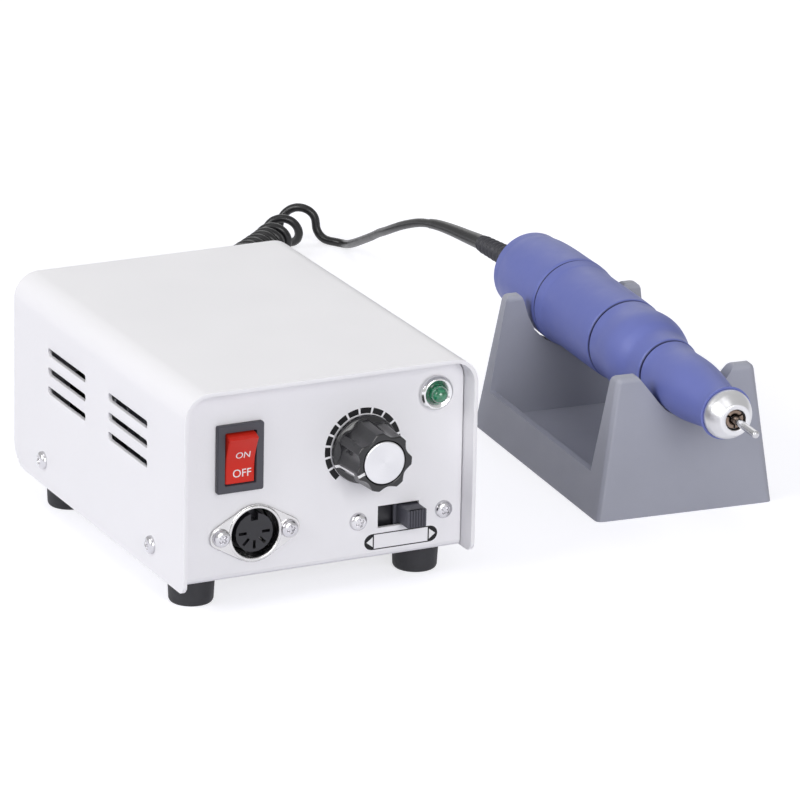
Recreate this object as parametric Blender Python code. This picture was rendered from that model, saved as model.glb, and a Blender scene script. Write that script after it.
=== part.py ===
"""Dental laboratory micromotor: control box, handpiece in its stand, and the handpiece's curly cord.

Metres, +Z up. The front panel faces -Y and the stand is on the +X side of the control box.
The model stands on the plane z = 0, with its origin below the middle of the box around its
pieces, cord left out.
"""
import math

import bmesh
import bpy
import numpy as np
from mathutils import Matrix, Vector

# Clearances and steps
GAP = 0.0003
OVERRUN = 0.002
ARC_STEPS = 5
SHARP_ANGLE = math.radians(35)
ROUND_SIDES = 18
WIDE_SIDES = 24
SMALL_SIDES = 12

# Control box
COVER_WIDTH = 0.096
COVER_DEPTH = 0.129
COVER_HEIGHT = 0.062
SHEET = 0.0012
COVER_BEND = 0.008
COVER_FRONT_CORNER = 0.003
COVER_REAR_CORNER = 0.008
FOOT_HEIGHT = 0.009
PANEL_RECESS = 0.0069
REAR_RECESS = 0.003
PANEL_CORNER = 0.0064
CHASSIS_BEND = 0.002
FLANGE_HEIGHT = 0.012
FLANGE_END = 0.008

# Side vents
VENT_LENGTH = 0.0288
VENT_HEIGHT = 0.0022
VENT_PITCH = 0.00615
VENT_TOP = 0.0459
VENT_SPACING = 0.0174
VENT_ROWS = 3
VENT_CORNER = 0.0008

# Screws
M3_RADIUS = 0.0014
M3_HOLE = 0.0018
PAN_RADIUS = 0.0028
PAN_HEIGHT = 0.0015
COVER_SCREW_RADIUS = 0.0028
COVER_SCREW_LENGTH = 0.008
COVER_SCREW_SPREAD = 0.0411
COVER_SCREW_HEIGHT = 0.0084

# Feet
FOOT_RADIUS = 0.0072
FOOT_TAPER = 0.0004
FOOT_EDGE = 0.0008
FOOT_SPREAD_X = 0.0372
FOOT_SPREAD_Y = 0.0460
FOOT_RECESS_RADIUS = 0.0036
FOOT_RECESS_DEPTH = 0.0045
PANEL_SCREW_LENGTH = 0.0085

# Rocker switch
ROCKER_X = -0.0275
ROCKER_Z = 0.0387
BEZEL_WIDTH = 0.0150
BEZEL_HEIGHT = 0.0212
BEZEL_CORNER = 0.0003
BEZEL_DEPTH = 0.0020
ROCKER_BODY_WIDTH = 0.0128
ROCKER_BODY_HEIGHT = 0.0190
ROCKER_BODY_DEPTH = 0.0150
ROCKER_WIDTH = 0.0095
ROCKER_REACH = 0.0079
ROCKER_VALLEY = 0.0012
ROCKER_TILT = math.radians(12)
ROCKER_CORNER_ANGLE = math.radians(20)
ROCKER_BACK_ANGLE = math.radians(-20)

# Round five-pin socket
SOCKET_X = -0.0221
SOCKET_Z = 0.0141
SOCKET_SCREW_PITCH = 0.0222
SOCKET_BORE = 0.0077
SOCKET_TUBE_WALL = 0.0006
SOCKET_RIM = 0.0091
SOCKET_EAR = 0.0036
SOCKET_PLATE = 0.0006
SOCKET_RIM_PROUD = 0.0013
SOCKET_DEPTH = 0.0110
INSERT_RADIUS = 0.0061
INSERT_SINK = 0.0010
INSERT_BASE = 0.0030
INSERT_KEY = 0.0023
CONTACT_CIRCLE = 0.0038
CONTACT_LENGTH = 0.0026
CONTACT_WIDTH = 0.0009
CONTACT_DEPTH = 0.0030
CONTACT_ANGLES_DEG = (0, -45, -90, -135, -180)

# Speed control
KNOB_X = 0.0134
KNOB_Z = 0.0358
KNOB_RADIUS = 0.0107
KNOB_SKIRT_EDGE = 0.0002
KNOB_SKIRT_HEIGHT = 0.0017
KNOB_FOOT_RADIUS = 0.0098
KNOB_TOP_RADIUS = 0.0092
KNOB_FACE_EDGE = 0.0005
KNOB_HEIGHT = 0.0142
KNOB_LIFT = 0.0006
KNOB_FLUTE = 0.0013
KNOB_LOBES = 7
KNOB_TURN = math.radians(202)
KNOB_CAP_RADIUS = 0.0066
KNOB_CAP_THICKNESS = 0.0009
KNOB_CAP_PROUD = 0.0002
KNOB_CAP_WALL = 0.0020
SHAFT_RADIUS = 0.0030
SHAFT_CLEARANCE = 0.0003
BUSHING_RADIUS = 0.0036
BUSHING_LENGTH = 0.0056
POT_RADIUS = 0.0085
POT_DEPTH = 0.0080
POT_NUT_RADIUS = 0.0058
POT_NUT_HEIGHT = 0.0020

# Pilot lamp
LAMP_X = 0.0372
LAMP_Z = 0.0502
LAMP_BEZEL_RADIUS = 0.0055
LAMP_BEZEL_PROUD = 0.0022
LAMP_SLEEVE_RADIUS = 0.0040
LAMP_SLEEVE_LENGTH = 0.0080
LENS_RADIUS = 0.0026
LENS_FLANGE_RADIUS = 0.0030
LENS_FLANGE = 0.0010
LENS_HEIGHT = 0.0052
LENS_LENGTH = 0.0060

# Direction switch
SWITCH_X = 0.0256
SWITCH_Z = 0.0130
SWITCH_SCREWS_X = 0.0264
SWITCH_SCREWS_Z = 0.0126
WINDOW_WIDTH = 0.0137
WINDOW_HEIGHT = 0.0070
LEVER_WIDTH = 0.0063
LEVER_HEIGHT = 0.0057
LEVER_PROUD = 0.0062
LEVER_RIBS = 7
LEVER_RIB_DEPTH = 0.0004
LEVER_PLATE = 0.0012
LEVER_PLATE_OVERLAP = 0.0010
SWITCH_BODY_WIDTH = 0.0350
SWITCH_EAR = 0.00325
SWITCH_SCREW_PITCH = SWITCH_BODY_WIDTH - 2 * SWITCH_EAR
SWITCH_BODY_HEIGHT = 0.0110
SWITCH_BODY_DEPTH = 0.0100
SWITCH_WALL = 0.0010

# Mains inlet, fuse holder and pedal jack in the rear wall
INLET_X = -0.0170
INLET_Z = 0.0190
INLET_BODY_WIDTH = 0.0270
INLET_BODY_HEIGHT = 0.0190
INLET_BODY_DEPTH = 0.0150
INLET_FLANGE_HEIGHT = 0.0220
INLET_FLANGE = 0.0025
INLET_WALL = 0.0015
INLET_CHAMFER = 0.0035
INLET_SCREW_PITCH = 0.0400
INLET_EAR = 0.0040
INLET_FLANGE_WIDTH = INLET_SCREW_PITCH + 2 * INLET_EAR
PIN_LENGTH = 0.0100
PIN_THICKNESS = 0.0020
PIN_HEIGHT = 0.0040
PIN_SPREAD = 0.0070
PIN_RISE = 0.0030
FUSE_X = 0.0300
FUSE_Z = 0.0190
FUSE_RADIUS = 0.0060
FUSE_LENGTH = 0.0260
FUSE_FLANGE_RADIUS = 0.0078
FUSE_FLANGE = 0.0020
FUSE_BORE = 0.0040
FUSE_CAP_RADIUS = 0.0064
FUSE_CAP_HEIGHT = 0.0060
FUSE_CAP_FLUTE = 0.0004
FUSE_CARRIER_RADIUS = 0.0032
FUSE_CARRIER_LENGTH = 0.0200
JACK_X = 0.0300
JACK_Z = 0.0420
JACK_BORE = 0.0033
JACK_BUSHING_RADIUS = 0.0047
JACK_BUSHING_PROUD = 0.0035
JACK_BODY = 0.0140
JACK_DEPTH = 0.0180

# Transformer
CORE_X = -0.0080
CORE_Y = 0.0270
CORE_WIDTH = 0.0480
CORE_STACK = 0.0160
CORE_HEIGHT = 0.0400
WINDOW_LEG = 0.0080
WINDING_BULGE = 0.0070
STRAP_THICKNESS = 0.0010
STRAP_FOOT = 0.0090
STRAP_WIDTH = 0.0140

# Circuit board and its parts
BOARD_X = -0.0120
BOARD_Y = -0.0170
BOARD_WIDTH = 0.0560
BOARD_DEPTH = 0.0460
BOARD_THICKNESS = 0.0016
BOARD_INSET = 0.0040
STANDOFF_HEIGHT = 0.0050
STANDOFF_RADIUS = 0.0026
SINK_WIDTH = 0.0090
SINK_DEPTH = 0.0300
SINK_HEIGHT = 0.0300
SINK_BASE = 0.0024
SINK_FINS = 4
SINK_FIN = 0.0012
CAN_PLACE_SHARES = ((0.286, 0.174), (0.357, -0.283), (0.107, -0.304))
CAN_RADII = (0.0080, 0.0050, 0.0040)
CAN_HEIGHTS = (0.0250, 0.0140, 0.0120)
BLOCK_WIDTH = 0.0080
BLOCK_DEPTH = 0.0130
BLOCK_HEIGHT = 0.0280

# Stand
STAND_X = 0.1359
STAND_Y = -0.0367
STAND_TURN = math.radians(-4)
STAND_WIDTH = 0.0600
STAND_DEPTH = 0.0996
STAND_HEIGHT = 0.0456
STAND_SIDE_LEAN = 0.0066
STAND_FRONT_LEAN = 0.0026
STAND_REAR_LEAN = 0.0048
STAND_CORNER = 0.0020
RAIL_HEIGHT = 0.0133
RAIL_WALL = 0.0022
FRONT_WALL_FOOT = 0.0105
FRONT_WALL_TOP = 0.0075
REAR_WALL_FOOT = 0.0084
REAR_WALL_TOP = 0.0098
TRAY_FLOOR = 0.0050
STAND_SHELL = 0.0022
FRONT_NOTCH_EASE = 0.0013
REAR_NOTCH_EASE = 0.0018
NOTCH_SWEEP = math.radians(52)
REAR_NOTCH_SWEEP = math.radians(72)
HORN_ROUND = 0.0020

# Handpiece: stations run along its axis, forward from the middle
HANDPIECE_HEIGHT = 0.0413
HANDPIECE_BACK = 0.0368
CAP_REAR = -0.0945
CAP_FRONT = -0.0524
CAP_RADIUS = 0.0145
CAP_STATION_SHARES = (0.0, 0.019, 0.048, 0.098, 0.178, 0.284, 0.408, 0.571, 0.816, 1.0)
CAP_RADIUS_SHARES = (0.345, 0.517, 0.645, 0.760, 0.861, 0.929, 0.966, 0.984, 0.990, 1.0)
CAP_PLATE_SHARE = 0.09
CORD_HOLE = 0.0047
SEAM = 0.0004
HOUSING_REAR_RADIUS = 0.0141
HOUSING_RADIUS = 0.0137
HOUSING_FRONT_RADIUS = 0.01355
HOUSING_WAIST = -0.0435
HOUSING_FRONT = -0.0112
RING_FRONT = 0.0213
RING_REAR_RADIUS = 0.0134
RING_NECK_RADIUS = 0.0132
RING_SWELL_RADIUS = 0.0138
RING_STEP_RADIUS = 0.0110
RING_FRONT_RADIUS = 0.0105
RING_NECK_SHARE = 0.16
RING_SWELL_SHARE = 0.42
RING_SLOPE_SHARE = 0.61
RING_STEP_SHARE = 0.77
SLEEVE_FRONT = 0.0633
SLEEVE_REAR_RADIUS = 0.0103
SLEEVE_RADIUS = 0.0097
SLEEVE_WAIST_RADIUS = 0.0073
SLEEVE_FLARE_RADIUS = 0.0085
SLEEVE_GRIP_START = 0.0265
SLEEVE_GRIP_END = 0.0410
SLEEVE_FLARE_LENGTH = 0.0043
SLEEVE_WAIST = SLEEVE_FRONT - SLEEVE_FLARE_LENGTH
SHELL_WALL = 0.0014
NOSE_LENGTH = 0.0072
NOSE_FRONT = SLEEVE_FRONT + NOSE_LENGTH
NOSE_RADIUS = 0.0078
NOSE_FACE_RADIUS = 0.0049
NOSE_BORE = 0.00335
NOSE_SKIRT = 0.0012
NOSE_SPIGOT = 0.0035

# Inside the handpiece
TUBE_RADIUS = 0.0090
TUBE_WALL = 0.0012
BUR_RADIUS = 0.001175
BUR_LENGTH = 0.0445
BUR_PROUD = 0.0148
BUR_TIP = NOSE_FRONT + BUR_PROUD
COLLET_RADIUS = 0.0029
COLLET_SINK = 0.0010
COLLET_FRONT = NOSE_FRONT - COLLET_SINK
COLLET_SEAT = 0.0050
COLLET_SLOT = 0.0006
COLLET_SLOT_LENGTH = 0.0090
COLLET_MOUTH = 0.0005
SPINDLE_RADIUS = 0.0024
SPINDLE_NOSE_RADIUS = 0.0044
SPINDLE_SHOULDER = 0.0040
NOSE_LIP = 0.0045
SPINDLE_NOSE_END = NOSE_FRONT - NOSE_LIP
SPINDLE_REAR = -0.0720
BEARING_WIDTH = 0.0050
FRONT_BEARING_STATION = 0.0380
SPINDLE_NOSE_START = FRONT_BEARING_STATION + BEARING_WIDTH / 2 + SPINDLE_SHOULDER
COLLET_LENGTH = COLLET_FRONT - SPINDLE_NOSE_START - COLLET_SEAT
FRONT_BEARING_RADIUS = 0.0078
REAR_BEARING_RADIUS = 0.0065
ROTOR_RADIUS = 0.0088
ROTOR_REAR = -0.0440
ROTOR_FRONT = -0.0180
ROTOR_SLOTS = 7
ROTOR_SLOT_WIDTH = 0.0010
ROTOR_SLOT_DEPTH = 0.0016
WINDING_RADIUS = 0.0082
WINDING_LENGTH = 0.0036
MAGNET_WALL = 0.0026
COMMUTATOR_RADIUS = 0.0044
COMMUTATOR_LENGTH = 0.0070
COMMUTATOR_GAP = 0.0020
BRUSH_SECTION = 0.0030
BRUSH_LENGTH = 0.0055
BEARING_SEAT_WALL = 0.0012

# Cord
CORD_DIAMETER = 0.0030
COLLAR_RADIUS = 0.0040
COLLAR_TIP_RADIUS = 0.0030
COLLAR_LENGTH = 0.0300
COLLAR_ROOT = 0.0030
COLLAR_RIBS = 10
COLLAR_RIB_DEPTH = 0.0005
COLLAR_DROOP = math.radians(2.5)
COLLAR_SWING = math.radians(1)
BOOT_DIAMETER = 0.0052
BOOT_TIP_SHARE = 0.62
CURL_RADIUS = 0.0049
CURLS = 32
CURL_POINTS = 8
LOOSE_CURLS = 3
LOOSE_SHARE = 3.2
LOOSE_SWELL = 0.0005
PLUG_RADIUS = 0.0080
PLUG_GRIP_LENGTH = 0.0300
PLUG_NECK_RADIUS = 0.0036
PLUG_SHELL_RADIUS = 0.0069
PLUG_SHELL_LENGTH = 0.0110
PLUG_SHELL_WALL = 0.0006
PLUG_PIN_RADIUS = 0.0007
PLUG_PIN_LENGTH = 0.0080
PLUG_CORE = 0.0020

# Places worked out from the sizes above
HALF_WIDTH = COVER_WIDTH / 2
HALF_DEPTH = COVER_DEPTH / 2
COVER_TOP = FOOT_HEIGHT + COVER_HEIGHT
PANEL_Y = -HALF_DEPTH + PANEL_RECESS
REAR_Y = HALF_DEPTH - REAR_RECESS
CHASSIS_HALF = HALF_WIDTH - SHEET - GAP
FLOOR_TOP = FOOT_HEIGHT + SHEET


def clear_scene():
    """Remove every object that the file opens with."""
    for old in list(bpy.data.objects):
        bpy.data.objects.remove(old, do_unlink=True)


def material(name, colour, roughness, metallic=0.0):
    """A Principled material of one colour."""
    made = bpy.data.materials.new(name)
    made.use_nodes = True
    shader = made.node_tree.nodes["Principled BSDF"]
    shader.inputs["Base Color"].default_value = (*colour, 1.0)
    shader.inputs["Roughness"].default_value = roughness
    shader.inputs["Metallic"].default_value = metallic
    return made


def empty(name, parent=None, location=(0, 0, 0), rotation=(0, 0, 0)):
    """A frame that pieces are parented to."""
    frame = bpy.data.objects.new(name, None)
    bpy.context.scene.collection.objects.link(frame)
    frame.parent = parent
    frame.location = location
    frame.rotation_euler = rotation
    return frame


def piece(name, mesh, finish, parent, location=(0, 0, 0), rotation=(0, 0, 0)):
    """One named sub-part made from a bmesh, shaded smooth between its sharp edges."""
    bmesh.ops.recalc_face_normals(mesh, faces=mesh.faces)
    data = bpy.data.meshes.new(name)
    mesh.to_mesh(data)
    mesh.free()
    data.materials.append(finish)
    data.shade_smooth()
    data.set_sharp_from_angle(angle=SHARP_ANGLE)
    made = bpy.data.objects.new(name, data)
    bpy.context.scene.collection.objects.link(made)
    made.parent = parent
    made.location = location
    made.rotation_euler = rotation
    return made


def boolean(target, mesh, operation="DIFFERENCE"):
    """Cut, join or intersect a piece with a shape given in the piece's own frame."""
    bmesh.ops.recalc_face_normals(mesh, faces=mesh.faces)
    data = bpy.data.meshes.new(target.name + "_tool")
    mesh.to_mesh(data)
    mesh.free()
    tool = bpy.data.objects.new(data.name, data)
    bpy.context.scene.collection.objects.link(tool)
    tool.parent = target
    tool.hide_render = True
    tool.display_type = "WIRE"
    change = target.modifiers.new(operation.lower(), "BOOLEAN")
    change.operation = operation
    change.object = tool
    return tool


def add_box(mesh, low, high):
    """A box between two corners."""
    made = bmesh.ops.create_cube(mesh, size=1.0)["verts"]
    low, high = Vector(low), Vector(high)
    middle = (low + high) / 2
    for vert in made:
        vert.co = Vector(middle[i] + vert.co[i] * (high[i] - low[i]) for i in range(3))
    return made


def add_prism(mesh, outline, axis, start, end):
    """An outline carried along an axis: its points are (y, z), (x, z) or (x, y)."""
    def corner(point, along):
        values = list(point)
        values.insert("XYZ".index(axis), along)
        return mesh.verts.new(values)
    near = [corner(point, start) for point in outline]
    far = [corner(point, end) for point in outline]
    mesh.faces.new(near)
    mesh.faces.new(far[::-1])
    count = len(outline)
    for i in range(count):
        mesh.faces.new((near[i], far[i], far[(i + 1) % count], near[(i + 1) % count]))
    return near + far


def arc(centre, radius, start, end, steps=ARC_STEPS):
    """Points on an arc between two angles, both ends included."""
    return [(centre[0] + radius * math.cos(start + (end - start) * i / steps),
             centre[1] + radius * math.sin(start + (end - start) * i / steps)) for i in range(steps + 1)]


def rounded_rectangle(low, high, radius, steps=2):
    """A rectangle's outline with round corners, anticlockwise."""
    corners = (((high[0] - radius, low[1] + radius), -90), ((high[0] - radius, high[1] - radius), 0),
               ((low[0] + radius, high[1] - radius), 90), ((low[0] + radius, low[1] + radius), 180))
    outline = []
    for centre, turn in corners:
        outline += arc(centre, radius, math.radians(turn), math.radians(turn + 90), steps)
    return outline


def around(x, z, width, height):
    """Opposite corners of a rectangle about a point."""
    return (x - width / 2, z - height / 2), (x + width / 2, z + height / 2)


def add_turned(mesh, profile, sides=ROUND_SIDES, flute=None, matrix=None):
    """A profile of (radius, height) turned about +Z; a point on the axis is a pole.

    A point's third value, where it has one, scales the flutes that cut into its ring.
    """
    rings = []
    for point in profile:
        radius, height = point[:2]
        depth = point[2] if len(point) > 2 else 0.0
        if radius == 0:
            rings.append([mesh.verts.new((0, 0, height))])
            continue
        ring = []
        for i in range(sides):
            angle = math.tau * i / sides
            reach = radius - (depth * flute(angle) if depth else 0)
            ring.append(mesh.verts.new((reach * math.cos(angle), reach * math.sin(angle), height)))
        rings.append(ring)
    closed = len(rings[0]) > 1
    pairs = list(zip(rings, rings[1:])) + ([(rings[-1], rings[0])] if closed else [])
    for lower, upper in pairs:
        for i in range(sides):
            j = (i + 1) % sides
            if len(lower) == 1:
                mesh.faces.new((lower[0], upper[i], upper[j]))
            elif len(upper) == 1:
                mesh.faces.new((lower[i], upper[0], lower[j]))
            else:
                mesh.faces.new((lower[i], upper[i], upper[j], lower[j]))
    made = [vert for ring in rings for vert in ring]
    if matrix is not None:
        bmesh.ops.transform(mesh, matrix=matrix, verts=made)
    return made


def facing(location, direction, roll=0.0):
    """The matrix that stands a turned shape at a place with its +Z along a direction."""
    turn = Vector((0, 0, 1)).rotation_difference(Vector(direction)).to_matrix().to_4x4()
    return Matrix.Translation(location) @ turn @ Matrix.Rotation(roll, 4, "Z")


def turned(name, profile, finish, parent, sides=ROUND_SIDES, **place):
    """A single turned sub-part."""
    mesh = bmesh.new()
    add_turned(mesh, profile, sides)
    return piece(name, mesh, finish, parent, **place)


def disc(radius, low, high):
    """The profile of a plain cylinder."""
    return [(0, low), (radius, low), (radius, high), (0, high)]


def pipe(inner, outer, low, high):
    """The profile of a plain ring or tube."""
    return [(inner, low), (outer, low), (outer, high), (inner, high)]


def screw_profile(head, shank, length, height):
    """A pan head above the origin with its shank below."""
    crown = head * 0.72
    return [(0, -length), (shank, -length), (shank, 0), (head, 0), (head, height * 0.45),
            (crown, height * 0.92), (0, height)]


def scallops(lobes):
    """A flute depth from 0 on a lobe to 1 in the middle of the hollow beside it."""
    return lambda angle: (0.5 - 0.5 * math.cos(lobes * angle)) ** 0.8


BACK = (0, 1, 0)
UP = (0, 0, 1)
FRONT_TURN = (math.radians(90), 0, 0)
BACK_TURN = (math.radians(-90), 0, 0)
CORNERS = {(-1, -1): "_front_left", (1, -1): "_front_right", (-1, 1): "_rear_left", (1, 1): "_rear_right"}


clear_scene()
white_paint = material("white_paint", (0.84, 0.84, 0.87), 0.35)
black_rubber = material("black_rubber", (0.03, 0.03, 0.035), 0.75)
bright_steel = material("bright_steel", (0.75, 0.75, 0.76), 0.25, 1.0)
dark_plastic = material("dark_plastic", (0.06, 0.06, 0.075), 0.45)
red_plastic = material("red_plastic", (0.70, 0.06, 0.03), 0.35)
green_lens = material("green_lens", (0.02, 0.35, 0.14), 0.15)
spun_metal = material("spun_metal", (0.80, 0.80, 0.82), 0.30, 1.0)
grey_plastic = material("grey_plastic", (0.28, 0.29, 0.34), 0.45)
blue_plastic = material("blue_plastic", (0.10, 0.12, 0.42), 0.40)
dark_steel = material("dark_steel", (0.25, 0.25, 0.26), 0.50, 1.0)
copper = material("copper", (0.60, 0.28, 0.14), 0.40, 1.0)
brass = material("brass", (0.68, 0.50, 0.22), 0.35, 1.0)
board_green = material("board_green", (0.03, 0.22, 0.10), 0.50)
cord_black = material("cord_black", (0.012, 0.012, 0.014), 0.40)
collar_grey = material("collar_grey", (0.09, 0.09, 0.10), 0.60)
carbon = material("carbon", (0.04, 0.04, 0.04), 0.80)

assembly = empty("assembly")
box = empty("control_box", assembly, location=(0, 0, 0))
panel = empty("front_panel_frame", box, location=(0, PANEL_Y, FOOT_HEIGHT), rotation=FRONT_TURN)
back = empty("rear_wall_frame", box, location=(0, REAR_Y, FOOT_HEIGHT), rotation=BACK_TURN)


# Top cover: one sheet folded into an upside-down U, with vent slots in both sides
def arch(half, bottom, top, radius):
    """The outline of an upside-down U with round shoulders, from left foot to right foot."""
    left = arc((-half + radius, top - radius), radius, math.radians(180), math.radians(90))
    right = arc((half - radius, top - radius), radius, math.radians(90), 0)
    return [(-half, bottom)] + left + right + [(half, bottom)]


def top_cover():
    """The folded sheet, its slots, its four screw holes and its rounded lower corners."""
    outer = arch(HALF_WIDTH, FOOT_HEIGHT, COVER_TOP, COVER_BEND)
    inner = arch(HALF_WIDTH - SHEET, FOOT_HEIGHT, COVER_TOP - SHEET, COVER_BEND - SHEET)
    mesh = bmesh.new()
    add_prism(mesh, outer + inner[::-1], "Y", -HALF_DEPTH, HALF_DEPTH)
    cover = piece("top_cover", mesh, white_paint, box)
    slots = bmesh.new()
    for side in (-1, 1):
        start, end = sorted((side * (HALF_WIDTH + OVERRUN), side * (HALF_WIDTH - SHEET - OVERRUN)))
        for group in (-1, 1):
            middle = group * (VENT_SPACING + VENT_LENGTH) / 2
            for row in range(VENT_ROWS):
                top = FOOT_HEIGHT + VENT_TOP - row * VENT_PITCH
                low = (middle - VENT_LENGTH / 2, top - VENT_HEIGHT)
                high = (middle + VENT_LENGTH / 2, top)
                add_prism(slots, rounded_rectangle(low, high, VENT_CORNER, 1), "X", start, end)
            add_turned(slots, disc(M3_HOLE, -SHEET - OVERRUN, OVERRUN), SMALL_SIDES,
                       matrix=facing((side * HALF_WIDTH, group * COVER_SCREW_SPREAD,
                                      FOOT_HEIGHT + COVER_SCREW_HEIGHT), (side, 0, 0)))
    for end, radius in ((-1, COVER_FRONT_CORNER), (1, COVER_REAR_CORNER)):
        y, past = end * (HALF_DEPTH - radius), end * (HALF_DEPTH + OVERRUN)
        outline = arc((y, FOOT_HEIGHT + radius), radius, math.radians(270 + 90 * end), math.radians(270))
        outline += [(y, FOOT_HEIGHT - OVERRUN), (past, FOOT_HEIGHT - OVERRUN), (past, FOOT_HEIGHT + radius)]
        add_prism(slots, outline, "X", -HALF_WIDTH - OVERRUN, HALF_WIDTH + OVERRUN)
    boolean(cover, slots)


top_cover()


# Chassis: a second folded sheet, whose upright walls are the front panel and the rear wall
def chassis():
    """Floor, two walls and two low side flanges, with every opening that the parts need."""
    front, rear, floor = PANEL_Y, REAR_Y, FOOT_HEIGHT
    top = COVER_TOP - SHEET - GAP
    bend, inner = CHASSIS_BEND, CHASSIS_BEND - SHEET
    outline = [(front, top)]
    outline += arc((front + bend, floor + bend), bend, math.radians(180), math.radians(270), 3)
    outline += arc((rear - bend, floor + bend), bend, math.radians(270), math.radians(360), 3)
    outline += [(rear, top), (rear - SHEET, top)]
    outline += arc((rear - bend, floor + bend), inner, math.radians(360), math.radians(270), 2)
    outline += arc((front + bend, floor + bend), inner, math.radians(270), math.radians(180), 2)
    outline += [(front + SHEET, top)]
    mesh = bmesh.new()
    add_prism(mesh, outline, "X", -CHASSIS_HALF, CHASSIS_HALF)
    made = piece("chassis", mesh, white_paint, box)
    corners = bmesh.new()
    shape = arch(CHASSIS_HALF, FOOT_HEIGHT - OVERRUN, top, PANEL_CORNER)
    add_prism(corners, shape, "Y", front - OVERRUN, rear + OVERRUN)
    boolean(made, corners, "INTERSECT")
    flanges = bmesh.new()
    for side in (-1, 1):
        x = sorted((side * (CHASSIS_HALF - SHEET - GAP), side * (CHASSIS_HALF - GAP)))
        add_box(flanges, (x[0], front + FLANGE_END, FOOT_HEIGHT + SHEET / 2),
                (x[1], rear - FLANGE_END, FOOT_HEIGHT + FLANGE_HEIGHT))
    boolean(made, flanges, "UNION")
    boolean(made, chassis_openings())


def chassis_openings():
    """The holes in the chassis, as one set of separate cutters."""
    cuts = bmesh.new()
    wall = (PANEL_Y - OVERRUN, PANEL_Y + SHEET + OVERRUN)
    rear = (REAR_Y - SHEET - OVERRUN, REAR_Y + OVERRUN)
    low, high = around(ROCKER_X, FOOT_HEIGHT + ROCKER_Z, ROCKER_BODY_WIDTH + 2 * GAP,
                       ROCKER_BODY_HEIGHT + 2 * GAP)
    add_box(cuts, (low[0], wall[0], low[1]), (high[0], wall[1], high[1]))
    low, high = around(SWITCH_X, FOOT_HEIGHT + SWITCH_Z, WINDOW_WIDTH, WINDOW_HEIGHT)
    add_box(cuts, (low[0], wall[0], low[1]), (high[0], wall[1], high[1]))
    low, high = around(INLET_X, FOOT_HEIGHT + INLET_Z, INLET_BODY_WIDTH + 2 * GAP,
                       INLET_BODY_HEIGHT + 2 * GAP)
    add_box(cuts, (low[0], rear[0], low[1]), (high[0], rear[1], high[1]))
    tube = SOCKET_BORE + SOCKET_TUBE_WALL + GAP
    front_holes = [(SOCKET_X, SOCKET_Z, tube), (KNOB_X, KNOB_Z, BUSHING_RADIUS + GAP),
                   (LAMP_X, LAMP_Z, LAMP_SLEEVE_RADIUS + GAP)]
    for side in (-1, 1):
        front_holes.append((SOCKET_X + side * SOCKET_SCREW_PITCH / 2, SOCKET_Z, M3_HOLE))
        front_holes.append((SWITCH_SCREWS_X + side * SWITCH_SCREW_PITCH / 2, SWITCH_SCREWS_Z, M3_HOLE))
    rear_holes = [(FUSE_X, FUSE_Z, FUSE_RADIUS + GAP), (JACK_X, JACK_Z, JACK_BUSHING_RADIUS + GAP)]
    rear_holes += [(INLET_X + side * INLET_SCREW_PITCH / 2, INLET_Z, M3_HOLE) for side in (-1, 1)]
    for holes, span in ((front_holes, wall), (rear_holes, rear)):
        for x, z, radius in holes:
            add_turned(cuts, disc(radius, 0, span[1] - span[0]),
                       matrix=facing((x, span[0], FOOT_HEIGHT + z), BACK))
    floor_holes = [(x * FOOT_SPREAD_X, y * FOOT_SPREAD_Y) for x in (-1, 1) for y in (-1, 1)]
    for x, y in floor_holes:
        add_turned(cuts, disc(M3_HOLE, 0, SHEET + 2 * OVERRUN), SMALL_SIDES,
                   matrix=facing((x, y, FOOT_HEIGHT - OVERRUN), UP))
    for side in (-1, 1):
        for end in (-1, 1):
            add_turned(cuts, disc(M3_HOLE, 0, SHEET + 2 * OVERRUN), SMALL_SIDES,
                       matrix=facing((side * (CHASSIS_HALF + OVERRUN - GAP), end * COVER_SCREW_SPREAD,
                                      FOOT_HEIGHT + COVER_SCREW_HEIGHT), (-side, 0, 0)))
    return cuts


chassis()


# Rubber feet, each with a recess for the screw that holds it
def feet():
    """One turned foot under each corner of the chassis."""
    top = FOOT_HEIGHT - GAP
    profile = [(M3_HOLE, FOOT_RECESS_DEPTH), (FOOT_RECESS_RADIUS, FOOT_RECESS_DEPTH), (FOOT_RECESS_RADIUS, 0),
               (FOOT_RADIUS - FOOT_TAPER - FOOT_EDGE, 0), (FOOT_RADIUS - FOOT_TAPER, FOOT_EDGE),
               (FOOT_RADIUS, top), (M3_HOLE, top)]
    for x, y in CORNERS:
        place = (x * FOOT_SPREAD_X, y * FOOT_SPREAD_Y, 0)
        turned("rubber_foot" + CORNERS[x, y], profile, black_rubber, box, location=place)


feet()


# Screws through the sides of the cover into the chassis flanges
def cover_screws():
    """Two screws on each side."""
    pan = screw_profile(COVER_SCREW_RADIUS, M3_RADIUS, COVER_SCREW_LENGTH, PAN_HEIGHT)
    for side, end in CORNERS:
        place = (side * (HALF_WIDTH + GAP), end * COVER_SCREW_SPREAD, FOOT_HEIGHT + COVER_SCREW_HEIGHT)
        turned("cover_screw" + CORNERS[side, end], pan, bright_steel, box, SMALL_SIDES,
               location=place, rotation=(0, side * math.radians(90), 0))


cover_screws()


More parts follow.
